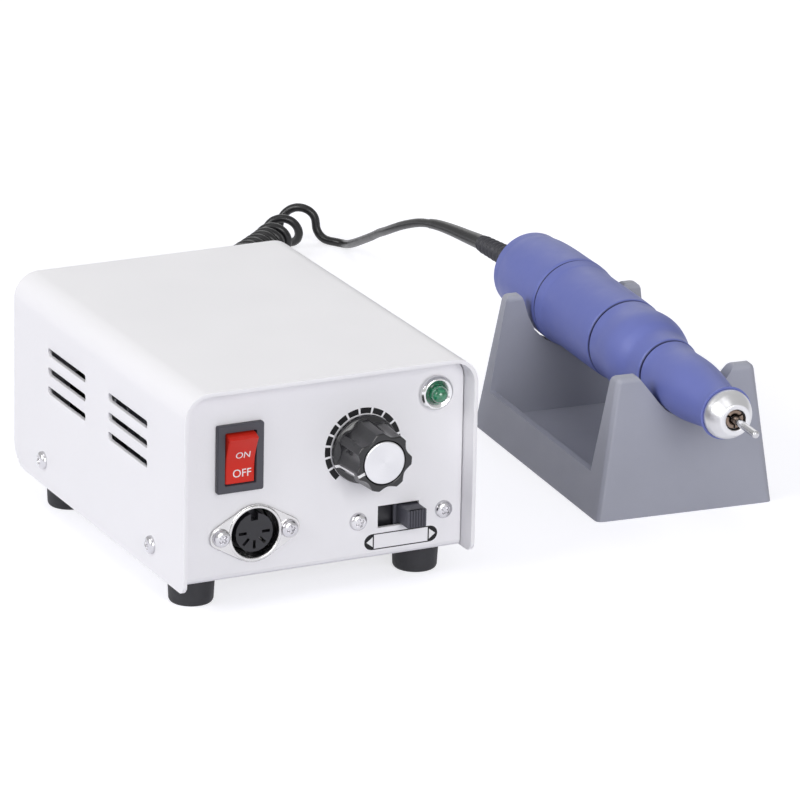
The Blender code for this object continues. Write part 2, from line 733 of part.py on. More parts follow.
# Rocker switch: the frame clips into the panel and the rocker tilts in it
# In the panel's frame +X is right, +Y is up and +Z comes out of the panel.
def rocker_switch():
    """The frame with its well, and the rocker at its OFF end."""
    low, high = around(0, 0, BEZEL_WIDTH, BEZEL_HEIGHT)
    mesh = bmesh.new()
    add_prism(mesh, rounded_rectangle(low, high, BEZEL_CORNER), "Z", GAP, BEZEL_DEPTH)
    frame = piece("rocker_frame", mesh, dark_plastic, panel, location=(ROCKER_X, ROCKER_Z, 0))
    body = bmesh.new()
    low, high = around(0, 0, ROCKER_BODY_WIDTH, ROCKER_BODY_HEIGHT)
    add_box(body, (*low, -ROCKER_BODY_DEPTH), (*high, BEZEL_DEPTH / 2))
    boolean(frame, body, "UNION")
    well = bmesh.new()
    low, high = around(0, 0, ROCKER_WIDTH + 2 * GAP, 2 * (ROCKER_REACH + GAP))
    depth = ROCKER_REACH * math.sin(ROCKER_TILT - ROCKER_BACK_ANGLE) + 2 * GAP
    add_box(well, (*low, -depth), (*high, BEZEL_DEPTH + OVERRUN))
    boolean(frame, well)
    face = ROCKER_REACH * math.sin(ROCKER_CORNER_ANGLE) - ROCKER_VALLEY
    outline = [(0, face)]
    outline += arc((0, 0), ROCKER_REACH, ROCKER_CORNER_ANGLE, ROCKER_BACK_ANGLE, 4)
    outline += arc((0, 0), ROCKER_REACH, math.pi - ROCKER_BACK_ANGLE, math.pi - ROCKER_CORNER_ANGLE, 4)
    rocker = bmesh.new()
    add_prism(rocker, outline, "X", -ROCKER_WIDTH / 2, ROCKER_WIDTH / 2)
    piece("rocker_button", rocker, red_plastic, panel, location=(ROCKER_X, ROCKER_Z, GAP),
          rotation=(ROCKER_TILT, 0, 0))


rocker_switch()


# Round socket for the handpiece's plug
def socket():
    """The metal flange with its tube, and the black insert with its key and five contacts."""
    half = SOCKET_SCREW_PITCH / 2
    reach = math.acos((SOCKET_RIM - SOCKET_EAR) / half)
    outline = arc((half, 0), SOCKET_EAR, -reach, reach, 6)
    outline += arc((0, 0), SOCKET_RIM, reach, math.pi - reach, 6)
    outline += arc((-half, 0), SOCKET_EAR, math.pi - reach, math.pi + reach, 6)
    outline += arc((0, 0), SOCKET_RIM, math.pi + reach, math.tau - reach, 6)
    mesh = bmesh.new()
    add_prism(mesh, outline, "Z", GAP, GAP + SOCKET_PLATE)
    place = {"location": (SOCKET_X, SOCKET_Z, 0)}
    flange = piece("socket_flange", mesh, bright_steel, panel, **place)
    tube = SOCKET_BORE + SOCKET_TUBE_WALL
    rim = bmesh.new()
    seat = GAP + SOCKET_PLATE / 2
    add_turned(rim, [(SOCKET_BORE - OVERRUN, -SOCKET_DEPTH), (tube, -SOCKET_DEPTH), (tube, seat),
                     (SOCKET_RIM - SOCKET_PLATE, seat), (SOCKET_RIM - SOCKET_PLATE, SOCKET_RIM_PROUD * 0.85),
                     (SOCKET_BORE + SOCKET_PLATE, SOCKET_RIM_PROUD), (SOCKET_BORE - OVERRUN, SOCKET_RIM_PROUD)])
    boolean(flange, rim, "UNION")
    bore = bmesh.new()
    add_turned(bore, disc(SOCKET_BORE, -SOCKET_DEPTH - OVERRUN, SOCKET_RIM_PROUD + OVERRUN))
    for side in (-1, 1):
        add_turned(bore, disc(M3_HOLE, -OVERRUN, SOCKET_PLATE + OVERRUN), SMALL_SIDES,
                   matrix=Matrix.Translation((side * half, 0, 0)))
    boolean(flange, bore)
    top = SOCKET_RIM_PROUD - INSERT_SINK
    base = SOCKET_BORE - GAP
    insert = turned("socket_insert", [(0, -SOCKET_DEPTH), (base, -SOCKET_DEPTH),
                    (base, INSERT_BASE - SOCKET_DEPTH), (INSERT_RADIUS, INSERT_BASE - SOCKET_DEPTH),
                    (INSERT_RADIUS, top), (0, top)], dark_plastic, panel, **place)
    cuts = bmesh.new()
    low, high = around(0, INSERT_RADIUS, INSERT_KEY, 2 * INSERT_KEY)
    add_box(cuts, (*low, top - CONTACT_DEPTH), (*high, top + OVERRUN))
    for degrees in CONTACT_ANGLES_DEG:
        verts = add_box(cuts, (CONTACT_CIRCLE - CONTACT_LENGTH / 2, -CONTACT_WIDTH / 2, top - CONTACT_DEPTH),
                        (CONTACT_CIRCLE + CONTACT_LENGTH / 2, CONTACT_WIDTH / 2, top + OVERRUN))
        bmesh.ops.rotate(cuts, matrix=Matrix.Rotation(math.radians(degrees), 3, "Z"), verts=verts)
    boolean(insert, cuts)


socket()


# Speed control: potentiometer behind the panel, shaft, fluted knob and metal cap
def speed_control():
    """All the pieces stand on one axis; one lobe of the knob points at the scale."""
    place = {"location": (KNOB_X, KNOB_Z, 0)}
    back_face = -SHEET - GAP
    bush_end = BUSHING_LENGTH + back_face
    shaft_hole = SHAFT_RADIUS + SHAFT_CLEARANCE
    shaft_end = back_face - POT_DEPTH / 2
    turned("potentiometer", [(0, back_face - POT_DEPTH), (POT_RADIUS, back_face - POT_DEPTH),
           (POT_RADIUS, back_face), (BUSHING_RADIUS, back_face), (BUSHING_RADIUS, bush_end),
           (shaft_hole, bush_end), (shaft_hole, shaft_end - GAP), (0, shaft_end - GAP)], dark_steel, panel,
           **place)
    bottom = KNOB_LIFT + POT_NUT_HEIGHT
    face = KNOB_LIFT + KNOB_HEIGHT
    shaft_top = face - KNOB_CAP_THICKNESS - KNOB_CAP_WALL
    turned("potentiometer_shaft", disc(SHAFT_RADIUS, shaft_end, shaft_top - GAP), brass,
           panel, SMALL_SIDES, **place)
    seat = face + KNOB_CAP_PROUD - KNOB_CAP_THICKNESS - GAP
    nut_room = POT_NUT_RADIUS + 2 * GAP
    skirt = KNOB_LIFT + KNOB_SKIRT_HEIGHT
    well = max(bottom, bush_end) + 2 * GAP
    profile = [(0, seat), (KNOB_CAP_RADIUS + GAP, seat), (KNOB_CAP_RADIUS + GAP, face),
               (KNOB_TOP_RADIUS - KNOB_FACE_EDGE, face, KNOB_FLUTE),
               (KNOB_TOP_RADIUS, face - KNOB_FACE_EDGE, KNOB_FLUTE),
               (KNOB_FOOT_RADIUS, skirt + KNOB_FACE_EDGE, KNOB_FLUTE * 0.8),
               (KNOB_RADIUS - KNOB_SKIRT_EDGE, skirt), (KNOB_RADIUS, KNOB_LIFT), (nut_room, KNOB_LIFT),
               (nut_room, well), (shaft_hole, well), (shaft_hole, shaft_top), (0, shaft_top)]
    mesh = bmesh.new()
    add_turned(mesh, profile, KNOB_LOBES * 6, scallops(KNOB_LOBES))
    piece("speed_knob", mesh, dark_plastic, panel, rotation=(0, 0, KNOB_TURN), **place)
    turned("knob_cap", disc(KNOB_CAP_RADIUS, seat + GAP, face + KNOB_CAP_PROUD), spun_metal, panel, **place)


speed_control()


# Pilot lamp: a polished bezel round a green lens
def pilot_lamp():
    """The bezel's sleeve passes through the panel; the lens sits in it."""
    place = {"location": (LAMP_X, LAMP_Z, 0)}
    bore = LENS_FLANGE_RADIUS + GAP
    turned("lamp_bezel", [(bore, -LAMP_SLEEVE_LENGTH), (LAMP_SLEEVE_RADIUS, -LAMP_SLEEVE_LENGTH),
           (LAMP_SLEEVE_RADIUS, GAP), (LAMP_BEZEL_RADIUS, GAP), (LAMP_BEZEL_RADIUS, LAMP_BEZEL_PROUD * 0.35),
           (LAMP_SLEEVE_RADIUS, LAMP_BEZEL_PROUD), (bore, LAMP_BEZEL_PROUD * 0.8)],
           bright_steel, panel, **place)
    step = LENS_FLANGE
    dome = [(LENS_RADIUS * math.cos(a), LENS_HEIGHT - LENS_RADIUS + LENS_RADIUS * math.sin(a))
            for a in np.radians((0, 22.5, 45, 67.5))]
    turned("lamp_lens", [(0, -LENS_LENGTH), (LENS_FLANGE_RADIUS, -LENS_LENGTH), (LENS_FLANGE_RADIUS, step),
           (LENS_RADIUS, step)] + dome + [(0, LENS_HEIGHT)], green_lens, panel, SMALL_SIDES, **place)


pilot_lamp()


# Direction switch: a slide switch behind the panel, its lever through a window
def direction_switch():
    """The lever's plate slides in the body, just behind the panel's window."""
    back_face = -SHEET - GAP
    body = bmesh.new()
    low, high = around(0, 0, SWITCH_BODY_WIDTH, SWITCH_BODY_HEIGHT)
    add_box(body, (*low, back_face - SWITCH_BODY_DEPTH), (*high, back_face))
    place = {"location": (SWITCH_X, SWITCH_Z, 0)}
    made = piece("direction_switch_body", body, dark_steel, panel, **place)
    travel = WINDOW_WIDTH - LEVER_WIDTH - 2 * GAP
    plate_width = LEVER_WIDTH + 2 * LEVER_PLATE_OVERLAP
    plate_height = LEVER_HEIGHT + 2 * LEVER_PLATE_OVERLAP
    room = bmesh.new()
    low, high = around(0, 0, plate_width + travel + 2 * GAP, plate_height + 2 * GAP)
    well = LEVER_PLATE + 2 * GAP
    add_box(room, (*low, back_face - well), (*high, back_face + OVERRUN))
    for side in (-1, 1):
        hole = (SWITCH_SCREWS_X - SWITCH_X + side * SWITCH_SCREW_PITCH / 2, SWITCH_SCREWS_Z - SWITCH_Z, 0)
        add_turned(room, disc(M3_HOLE, back_face - SWITCH_BODY_DEPTH - OVERRUN, back_face + OVERRUN),
                   SMALL_SIDES, matrix=Matrix.Translation(hole))
    boolean(made, room)
    outline = []
    rib = LEVER_WIDTH / LEVER_RIBS
    top = LEVER_PROUD
    for i in range(LEVER_RIBS):
        x = -LEVER_WIDTH / 2 + i * rib
        outline += [(x, top), (x + rib * 0.62, top)]
        if i < LEVER_RIBS - 1:
            outline += [(x + rib * 0.62, top - LEVER_RIB_DEPTH), (x + rib, top - LEVER_RIB_DEPTH)]
    foot = back_face - GAP
    outline[-1] = (LEVER_WIDTH / 2, top)
    outline += [(LEVER_WIDTH / 2, foot - LEVER_PLATE / 2), (-LEVER_WIDTH / 2, foot - LEVER_PLATE / 2)]
    lever = bmesh.new()
    add_prism(lever, outline, "Y", -LEVER_HEIGHT / 2, LEVER_HEIGHT / 2)
    shift = WINDOW_WIDTH / 2 - GAP - LEVER_WIDTH / 2
    handle = piece("direction_lever", lever, dark_plastic, panel, location=(SWITCH_X + shift, SWITCH_Z, 0))
    plate = bmesh.new()
    low, high = around(0, 0, plate_width, plate_height)
    add_box(plate, (*low, foot - LEVER_PLATE), (*high, foot))
    boolean(handle, plate, "UNION")


direction_switch()


# Cross-head screws that hold the socket and the direction switch
def panel_screws():
    """Two screws for the socket, over its flange, and two for the direction switch."""
    pan = screw_profile(PAN_RADIUS, M3_RADIUS, PANEL_SCREW_LENGTH, PAN_HEIGHT)
    for side, name in ((-1, "_left"), (1, "_right")):
        place = (SOCKET_X + side * SOCKET_SCREW_PITCH / 2, SOCKET_Z, SOCKET_PLATE + 2 * GAP)
        turned("socket_screw" + name, pan, bright_steel, panel, SMALL_SIDES, location=place)
        place = (SWITCH_SCREWS_X + side * SWITCH_SCREW_PITCH / 2, SWITCH_SCREWS_Z, GAP)
        turned("switch_screw" + name, pan, bright_steel, panel, SMALL_SIDES, location=place)


panel_screws()


# Mains inlet, fuse holder and foot-pedal jack
# In the rear wall's frame +X is right, +Y is down and +Z comes out of the wall.
def mains_inlet():
    """A three-pin inlet whose flange has two screw holes."""
    place = {"location": (INLET_X, -INLET_Z, 0)}
    mesh = bmesh.new()
    low, high = around(0, 0, INLET_FLANGE_WIDTH, INLET_FLANGE_HEIGHT)
    add_prism(mesh, rounded_rectangle(low, high, INLET_CHAMFER), "Z", GAP, INLET_FLANGE)
    body = piece("mains_inlet", mesh, dark_plastic, back, **place)
    shell = bmesh.new()
    low, high = around(0, 0, INLET_BODY_WIDTH, INLET_BODY_HEIGHT)
    add_box(shell, (*low, -INLET_BODY_DEPTH), (*high, INLET_FLANGE / 2))
    boolean(body, shell, "UNION")
    cuts = bmesh.new()
    low, high = around(0, 0, INLET_BODY_WIDTH - 2 * INLET_WALL, INLET_BODY_HEIGHT - 2 * INLET_WALL)
    cavity = [low, (high[0], low[1]), (high[0], high[1] - INLET_CHAMFER), (high[0] - INLET_CHAMFER, high[1]),
              (low[0] + INLET_CHAMFER, high[1]), (low[0], high[1] - INLET_CHAMFER)]
    add_prism(cuts, cavity, "Z", -INLET_BODY_DEPTH + INLET_WALL, INLET_FLANGE + OVERRUN)
    for side in (-1, 1):
        add_turned(cuts, disc(M3_HOLE, -OVERRUN, INLET_FLANGE + OVERRUN), SMALL_SIDES,
                   matrix=Matrix.Translation((side * INLET_SCREW_PITCH / 2, 0, 0)))
    boolean(body, cuts)
    pins = bmesh.new()
    bottom = -INLET_BODY_DEPTH + INLET_WALL
    for x, y in ((-PIN_SPREAD, PIN_RISE / 2), (0, -PIN_RISE / 2), (PIN_SPREAD, PIN_RISE / 2)):
        low, high = around(x, y, PIN_THICKNESS, PIN_HEIGHT)
        add_box(pins, (*low, bottom - INLET_WALL / 2), (*high, bottom + PIN_LENGTH))
    boolean(body, pins, "UNION")


def fuse_holder():
    """A panel fuse holder and its bayonet cap with the fuse carrier."""
    place = {"location": (FUSE_X, -FUSE_Z, 0)}
    turned("fuse_holder", [(0, -FUSE_LENGTH), (FUSE_RADIUS, -FUSE_LENGTH), (FUSE_RADIUS, GAP),
           (FUSE_FLANGE_RADIUS, GAP), (FUSE_FLANGE_RADIUS, FUSE_FLANGE), (FUSE_BORE, FUSE_FLANGE),
           (FUSE_BORE, -FUSE_CARRIER_LENGTH - GAP), (0, -FUSE_CARRIER_LENGTH - GAP)],
           dark_plastic, back, **place)
    cap = bmesh.new()
    low, high = FUSE_FLANGE + GAP, FUSE_FLANGE + GAP + FUSE_CAP_HEIGHT
    add_turned(cap, [(0, -FUSE_CARRIER_LENGTH), (FUSE_CARRIER_RADIUS, -FUSE_CARRIER_LENGTH),
                     (FUSE_CARRIER_RADIUS, low), (FUSE_CAP_RADIUS, low, FUSE_CAP_FLUTE),
                     (FUSE_CAP_RADIUS, high, FUSE_CAP_FLUTE), (0, high)], ROUND_SIDES,
               scallops(ROUND_SIDES // 4))
    made = piece("fuse_cap", cap, dark_plastic, back, **place)
    slot = bmesh.new()
    add_box(slot, (-FUSE_CAP_RADIUS / 2, -FUSE_CAP_FLUTE, high - FUSE_CAP_RADIUS / 5),
            (FUSE_CAP_RADIUS / 2, FUSE_CAP_FLUTE, high + OVERRUN))
    boolean(made, slot)


def pedal_jack():
    """A 6.35 mm jack whose threaded bushing passes through the wall."""
    place = {"location": (JACK_X, -JACK_Z, 0)}
    back_face = -SHEET - GAP
    mesh = bmesh.new()
    low, high = around(0, 0, JACK_BODY, JACK_BODY)
    add_box(mesh, (*low, back_face - JACK_DEPTH), (*high, back_face))
    body = piece("pedal_jack", mesh, dark_plastic, back, **place)
    bushing = bmesh.new()
    add_turned(bushing, disc(JACK_BUSHING_RADIUS, back_face - OVERRUN, JACK_BUSHING_PROUD))
    boolean(body, bushing, "UNION")
    bore = bmesh.new()
    add_turned(bore, disc(JACK_BORE, back_face - JACK_DEPTH + SWITCH_WALL, JACK_BUSHING_PROUD + OVERRUN))
    boolean(body, bore)


mains_inlet()
fuse_holder()
pedal_jack()


# Transformer: laminated core, winding, and the strap that holds it to the floor
def transformer():
    """The core is a frame round two windows with the winding on its middle leg."""
    low = FLOOR_TOP + GAP
    half, stack = CORE_WIDTH / 2, CORE_STACK / 2
    mesh = bmesh.new()
    add_box(mesh, (CORE_X - half, CORE_Y - stack, low), (CORE_X + half, CORE_Y + stack, low + CORE_HEIGHT))
    core = piece("transformer_core", mesh, dark_steel, box)
    windows = bmesh.new()
    for side in (-1, 1):
        inner, outer = sorted((CORE_X + side * WINDOW_LEG, CORE_X + side * (half - WINDOW_LEG)))
        add_box(windows, (inner, CORE_Y - stack - OVERRUN, low + WINDOW_LEG),
                (outer, CORE_Y + stack + OVERRUN, low + CORE_HEIGHT - WINDOW_LEG))
    boolean(core, windows)
    reach = half - WINDOW_LEG - GAP
    mesh = bmesh.new()
    shape = rounded_rectangle((CORE_X - reach, CORE_Y - stack - WINDING_BULGE),
                              (CORE_X + reach, CORE_Y + stack + WINDING_BULGE), WINDING_BULGE / 2)
    add_prism(mesh, shape, "Z", low + WINDOW_LEG + GAP, low + CORE_HEIGHT - WINDOW_LEG - GAP)
    winding = piece("transformer_winding", mesh, copper, box)
    leg = bmesh.new()
    clear = WINDOW_LEG + GAP
    add_box(leg, (CORE_X - clear, CORE_Y - stack - GAP, low),
            (CORE_X + clear, CORE_Y + stack + GAP, low + CORE_HEIGHT))
    boolean(winding, leg)
    side_x = half + GAP
    top = low + CORE_HEIGHT + GAP
    t = STRAP_THICKNESS
    outline = [(-side_x - t - STRAP_FOOT, low), (-side_x, low), (-side_x, top), (side_x, top), (side_x, low),
               (side_x + t + STRAP_FOOT, low), (side_x + t + STRAP_FOOT, low + t), (side_x + t, low + t),
               (side_x + t, top + t), (-side_x - t, top + t), (-side_x - t, low + t),
               (-side_x - t - STRAP_FOOT, low + t)]
    mesh = bmesh.new()
    add_prism(mesh, [(CORE_X + x, z) for x, z in outline], "Y", CORE_Y - STRAP_WIDTH / 2,
              CORE_Y + STRAP_WIDTH / 2)
    piece("transformer_strap", mesh, bright_steel, box)


transformer()


# Circuit board with its standoffs and capacitors, a heatsink and a terminal block
def circuit_board():
    """The tall parts stand behind the side vents, where the slots show them."""
    low = FLOOR_TOP + GAP
    under = low + STANDOFF_HEIGHT
    top = under + BOARD_THICKNESS + GAP
    mesh = bmesh.new()
    add_box(mesh, (BOARD_X - BOARD_WIDTH / 2, BOARD_Y - BOARD_DEPTH / 2, under),
            (BOARD_X + BOARD_WIDTH / 2, BOARD_Y + BOARD_DEPTH / 2, under + BOARD_THICKNESS))
    board = piece("circuit_board", mesh, board_green, box)
    posts = bmesh.new()
    for x in (-1, 1):
        for y in (-1, 1):
            place = (BOARD_X + x * (BOARD_WIDTH / 2 - BOARD_INSET),
                     BOARD_Y + y * (BOARD_DEPTH / 2 - BOARD_INSET), low)
            add_turned(posts, disc(STANDOFF_RADIUS, 0, STANDOFF_HEIGHT + BOARD_THICKNESS / 2), SMALL_SIDES,
                       matrix=Matrix.Translation(place))
    cans = bmesh.new()
    for (x, y), radius, height in zip(CAN_PLACE_SHARES, CAN_RADII, CAN_HEIGHTS):
        add_turned(cans, disc(radius, -BOARD_THICKNESS, height), SMALL_SIDES, matrix=Matrix.Translation(
            (BOARD_X + BOARD_WIDTH * x, BOARD_Y + BOARD_DEPTH * y, top)))
    boolean(board, posts, "UNION")
    boolean(board, cans, "UNION")
    left = BOARD_X - BOARD_WIDTH / 2 + GAP
    back_edge = BOARD_Y + BOARD_DEPTH / 2 - GAP
    front_edge = back_edge - SINK_DEPTH
    outline = [(left, front_edge)]
    pitch = (SINK_DEPTH - SINK_FIN) / (SINK_FINS - 1)
    spine = left + SINK_WIDTH - SINK_BASE
    for i in range(SINK_FINS):
        y = front_edge + i * pitch
        if i:
            outline += [(spine, y), (left, y)]
        outline += [(left, y + SINK_FIN)] + ([(spine, y + SINK_FIN)] if i < SINK_FINS - 1 else [])
    outline += [(left + SINK_WIDTH, back_edge), (left + SINK_WIDTH, front_edge)]
    mesh = bmesh.new()
    add_prism(mesh, outline, "Z", top, top + SINK_HEIGHT)
    piece("heatsink", mesh, spun_metal, box)
    mesh = bmesh.new()
    block_front = BOARD_Y - BOARD_DEPTH / 2 + GAP
    add_box(mesh, (left, block_front, top), (left + BLOCK_WIDTH, block_front + BLOCK_DEPTH, top + BLOCK_HEIGHT))
    piece("terminal_block", mesh, green_lens, box)


circuit_board()


# Stand: one moulding with two notched end walls, low side rails and a tray between them
stand_frame = empty("stand_frame", assembly, location=(STAND_X, STAND_Y, 0), rotation=(0, 0, STAND_TURN))


def add_frustum(mesh, foot, crown, bottom, top):
    """A block whose foot and crown are each (low x, low y, high x, high y)."""
    corners = []
    for (x0, y0, x1, y1), z in ((foot, bottom), (crown, top)):
        ring = ((x0, y0, z), (x1, y0, z), (x1, y1, z), (x0, y1, z))
        corners.append([mesh.verts.new(point) for point in ring])
    lower, upper = corners
    mesh.faces.new(lower[::-1])
    mesh.faces.new(upper)
    for i in range(4):
        j = (i + 1) % 4
        mesh.faces.new((lower[i], lower[j], upper[j], upper[i]))


def stand_half_width(z):
    """Half the stand's width at a height, where its sides lean in."""
    return STAND_WIDTH / 2 - STAND_SIDE_LEAN * z / STAND_HEIGHT


def stand_inner(z):
    """The inner faces of the front and rear walls at a height."""
    rise = (z - RAIL_HEIGHT) / (STAND_HEIGHT - RAIL_HEIGHT)
    front = FRONT_WALL_FOOT + (FRONT_WALL_TOP - FRONT_WALL_FOOT) * rise
    rear = STAND_DEPTH - REAR_WALL_FOOT - (REAR_WALL_TOP - REAR_WALL_FOOT) * rise
    return front, rear


def stand_outer(z):
    """The outer faces of the front and rear walls at a height."""
    return STAND_FRONT_LEAN * z / STAND_HEIGHT, STAND_DEPTH - STAND_REAR_LEAN * z / STAND_HEIGHT


def notch_floor(radius):
    """How high the bottom of a notch is for a piece of this radius."""
    return HANDPIECE_HEIGHT - radius - GAP


def notch_outline(radius, ease, sweep):
    """A notch's outline across the stand: a round seat, two flanks and two rounded horn edges."""
    reach = radius + ease
    seat = notch_floor(radius) + reach
    outline = arc((0, seat), reach, math.radians(-90) - sweep, math.radians(-90) + sweep, 8)
    end = outline[-1]
    top_x = end[0] + (STAND_HEIGHT - end[1]) / math.tan(sweep)
    cut = HORN_ROUND * math.tan(sweep / 2)
    right = arc((top_x + cut, STAND_HEIGHT - HORN_ROUND), HORN_ROUND, math.radians(90) + sweep,
                math.radians(90), 3)
    right.append((top_x + cut, STAND_HEIGHT + OVERRUN))
    left = [(-x, z) for x, z in reversed(right)]
    return outline + right + left


def stand():
    """The outer block, then everything that is cut out of it."""
    half_top = stand_half_width(STAND_HEIGHT)
    front_top, rear_top = stand_outer(STAND_HEIGHT)
    mesh = bmesh.new()
    add_frustum(mesh, (-STAND_WIDTH / 2, 0, STAND_WIDTH / 2, STAND_DEPTH),
                (-half_top, front_top, half_top, rear_top), 0, STAND_HEIGHT)
    edges = [edge for edge in mesh.edges if max(vert.co.z for vert in edge.verts) > OVERRUN]
    bmesh.ops.bevel(mesh, geom=edges, offset=STAND_CORNER, segments=3, profile=0.5, affect="EDGES")
    made = piece("stand", mesh, grey_plastic, stand_frame)
    over = STAND_HEIGHT + OVERRUN
    wide = STAND_WIDTH / 2 + OVERRUN
    front, rear = stand_inner(RAIL_HEIGHT)
    bend = STAND_HEIGHT - HORN_ROUND
    front_edge, rear_edge = stand_inner(bend)
    outline = [(front, RAIL_HEIGHT), (rear, RAIL_HEIGHT)]
    outline += arc((rear_edge + HORN_ROUND, bend), HORN_ROUND, math.radians(180), math.radians(90), 3)
    outline += [(rear_edge + HORN_ROUND, over), (front_edge - HORN_ROUND, over)]
    outline += arc((front_edge - HORN_ROUND, bend), HORN_ROUND, math.radians(90), 0, 3)
    gate = bmesh.new()
    add_prism(gate, outline, "X", -wide, wide)
    boolean(made, gate)
    tray = bmesh.new()
    low_front, low_rear = stand_inner(TRAY_FLOOR)
    inside = stand_half_width(RAIL_HEIGHT) - RAIL_WALL
    low_inside = stand_half_width(TRAY_FLOOR) - RAIL_WALL
    add_frustum(tray, (-low_inside, low_front, low_inside, low_rear), (-inside, front, inside, rear),
                TRAY_FLOOR, RAIL_HEIGHT + GAP)
    boolean(made, tray)
    sleeve_seat = (SLEEVE_RADIUS, FRONT_NOTCH_EASE)
    cap_seat = (CAP_RADIUS, REAR_NOTCH_EASE)
    notches = bmesh.new()
    middle = STAND_DEPTH / 2
    add_prism(notches, notch_outline(*sleeve_seat, NOTCH_SWEEP), "Y", -OVERRUN, middle - OVERRUN)
    add_prism(notches, notch_outline(*cap_seat, REAR_NOTCH_SWEEP), "Y", middle + OVERRUN, STAND_DEPTH + OVERRUN)
    boolean(made, notches)
    shallow = bmesh.new()
    hollow_top = TRAY_FLOOR - STAND_SHELL
    hollow_half = stand_half_width(hollow_top) - STAND_SHELL
    add_box(shallow, (-hollow_half, STAND_SHELL, -OVERRUN),
            (hollow_half, STAND_DEPTH - STAND_SHELL, hollow_top))
    boolean(made, shallow)
    deep = bmesh.new()
    for wall, seat in ((0, sleeve_seat), (1, cap_seat)):
        sections = []
        pocket_top = notch_floor(seat[0]) - STAND_SHELL * 2
        for z in (hollow_top / 2, pocket_top):
            low, high = sorted((stand_outer(z)[wall], stand_inner(z)[wall]))
            reach = stand_half_width(z) - STAND_SHELL
            sections.append((-reach, low + STAND_SHELL, reach, high - STAND_SHELL))
        add_frustum(deep, sections[0], sections[1], hollow_top / 2, pocket_top)
    boolean(made, deep)


stand()


# Handpiece: it lies in the stand's notches, its nose to the front
# In its own frame +Z runs forward along the axis and +Y is up.
handpiece = empty("handpiece_frame", stand_frame, location=(0, HANDPIECE_BACK, HANDPIECE_HEIGHT),
                  rotation=FRONT_TURN)


def smooth(points, steps):
    """A Catmull-Rom curve through the points, with so many steps in each span."""
    given = np.asarray(points, float)
    padded = np.vstack([2 * given[0] - given[1], given, 2 * given[-1] - given[-2]])
    curve = []
    for i in range(len(given) - 1):
        a, b, c, d = padded[i:i + 4]
        for t in np.arange(steps) / steps:
            curve.append(0.5 * (2 * b + (c - a) * t + (2 * a - 5 * b + 4 * c - d) * t ** 2
                                + (3 * b - a - 3 * c + d) * t ** 3))
    curve.append(given[-1])
    return np.array(curve)


def between(start, end, share):
    """A value part of the way from one to another."""
    return start + (end - start) * share


def rear_cap():
    """The domed shell at the back, open to the front, with the hole that the cord collar sits in."""
    stations = [between(CAP_REAR, CAP_FRONT, share) for share in CAP_STATION_SHARES]
    radii = [CAP_RADIUS * share for share in CAP_RADIUS_SHARES]
    outer = list(zip(radii, stations))
    plate = between(CAP_REAR, CAP_FRONT, CAP_PLATE_SHARE)
    inner = [(radius - SHELL_WALL, station) for radius, station in outer if station > plate][:-1:2]
    inner.append((CAP_BORE, CAP_FRONT))
    profile = [(CORD_HOLE, CAP_REAR)] + outer
    profile += inner[::-1] + [(CORD_HOLE, inner[0][1])]
    turned("rear_cap", profile, blue_plastic, handpiece, WIDE_SIDES)


HOUSING_REAR = CAP_FRONT + SEAM
CAP_BORE = CAP_RADIUS - SHELL_WALL
HOUSING_BORE = ROTOR_RADIUS + GAP + MAGNET_WALL + 2 * GAP
HOUSING_SPIGOT = 0.0040
TUBE_BORE = FRONT_BEARING_RADIUS - TUBE_WALL
TUBE_SPIGOT = 0.0050
BULKHEAD = 0.0020


def motor_housing():
    """The shell round the motor, with the tube that carries the twist ring and the front sleeve."""
    outer = smooth([(CAP_RADIUS, HOUSING_REAR),
                    (HOUSING_REAR_RADIUS, between(HOUSING_REAR, HOUSING_WAIST, 0.4)),
                    (HOUSING_RADIUS, HOUSING_WAIST),
                    (HOUSING_RADIUS, between(HOUSING_WAIST, HOUSING_FRONT, 0.7)),
                    (HOUSING_FRONT_RADIUS, HOUSING_FRONT)], 2)
    spigot = CAP_BORE - GAP - SEAM
    ring_end = RING_FRONT
    profile = [tuple(point) for point in outer]
    profile += [(TUBE_RADIUS, HOUSING_FRONT), (TUBE_RADIUS, ring_end), (FRONT_BEARING_RADIUS, ring_end),
                (FRONT_BEARING_RADIUS, ring_end + TUBE_SPIGOT), (TUBE_BORE, ring_end + TUBE_SPIGOT),
                (TUBE_BORE, HOUSING_FRONT - BULKHEAD), (HOUSING_BORE, HOUSING_FRONT - BULKHEAD),
                (HOUSING_BORE, HOUSING_REAR - HOUSING_SPIGOT), (spigot, HOUSING_REAR - HOUSING_SPIGOT),
                (spigot, HOUSING_REAR)]
    turned("motor_housing", profile, blue_plastic, handpiece, WIDE_SIDES)


def twist_ring():
    """The ring that opens and closes the collet."""
    rear, front = HOUSING_FRONT + SEAM, RING_FRONT
    outer = smooth([(RING_REAR_RADIUS, rear), (RING_NECK_RADIUS, between(rear, front, RING_NECK_SHARE)),
                    (RING_SWELL_RADIUS, between(rear, front, RING_SWELL_SHARE)),
                    (between(RING_SWELL_RADIUS, RING_STEP_RADIUS, 0.35),
                     between(rear, front, RING_SLOPE_SHARE)),
                    (RING_STEP_RADIUS, between(rear, front, RING_STEP_SHARE)), (RING_FRONT_RADIUS, front)], 3)
    bore = TUBE_RADIUS + GAP
    profile = [tuple(point) for point in outer] + [(bore, front), (bore, rear)]
    turned("twist_ring", profile, blue_plastic, handpiece, WIDE_SIDES)


SLEEVE_REAR = RING_FRONT + SEAM
SLEEVE_BORE = FRONT_BEARING_RADIUS + GAP
SLEEVE_THROAT = SLEEVE_WAIST_RADIUS - SHELL_WALL
BEARING_SHOULDER = FRONT_BEARING_STATION + BEARING_WIDTH / 2 + GAP


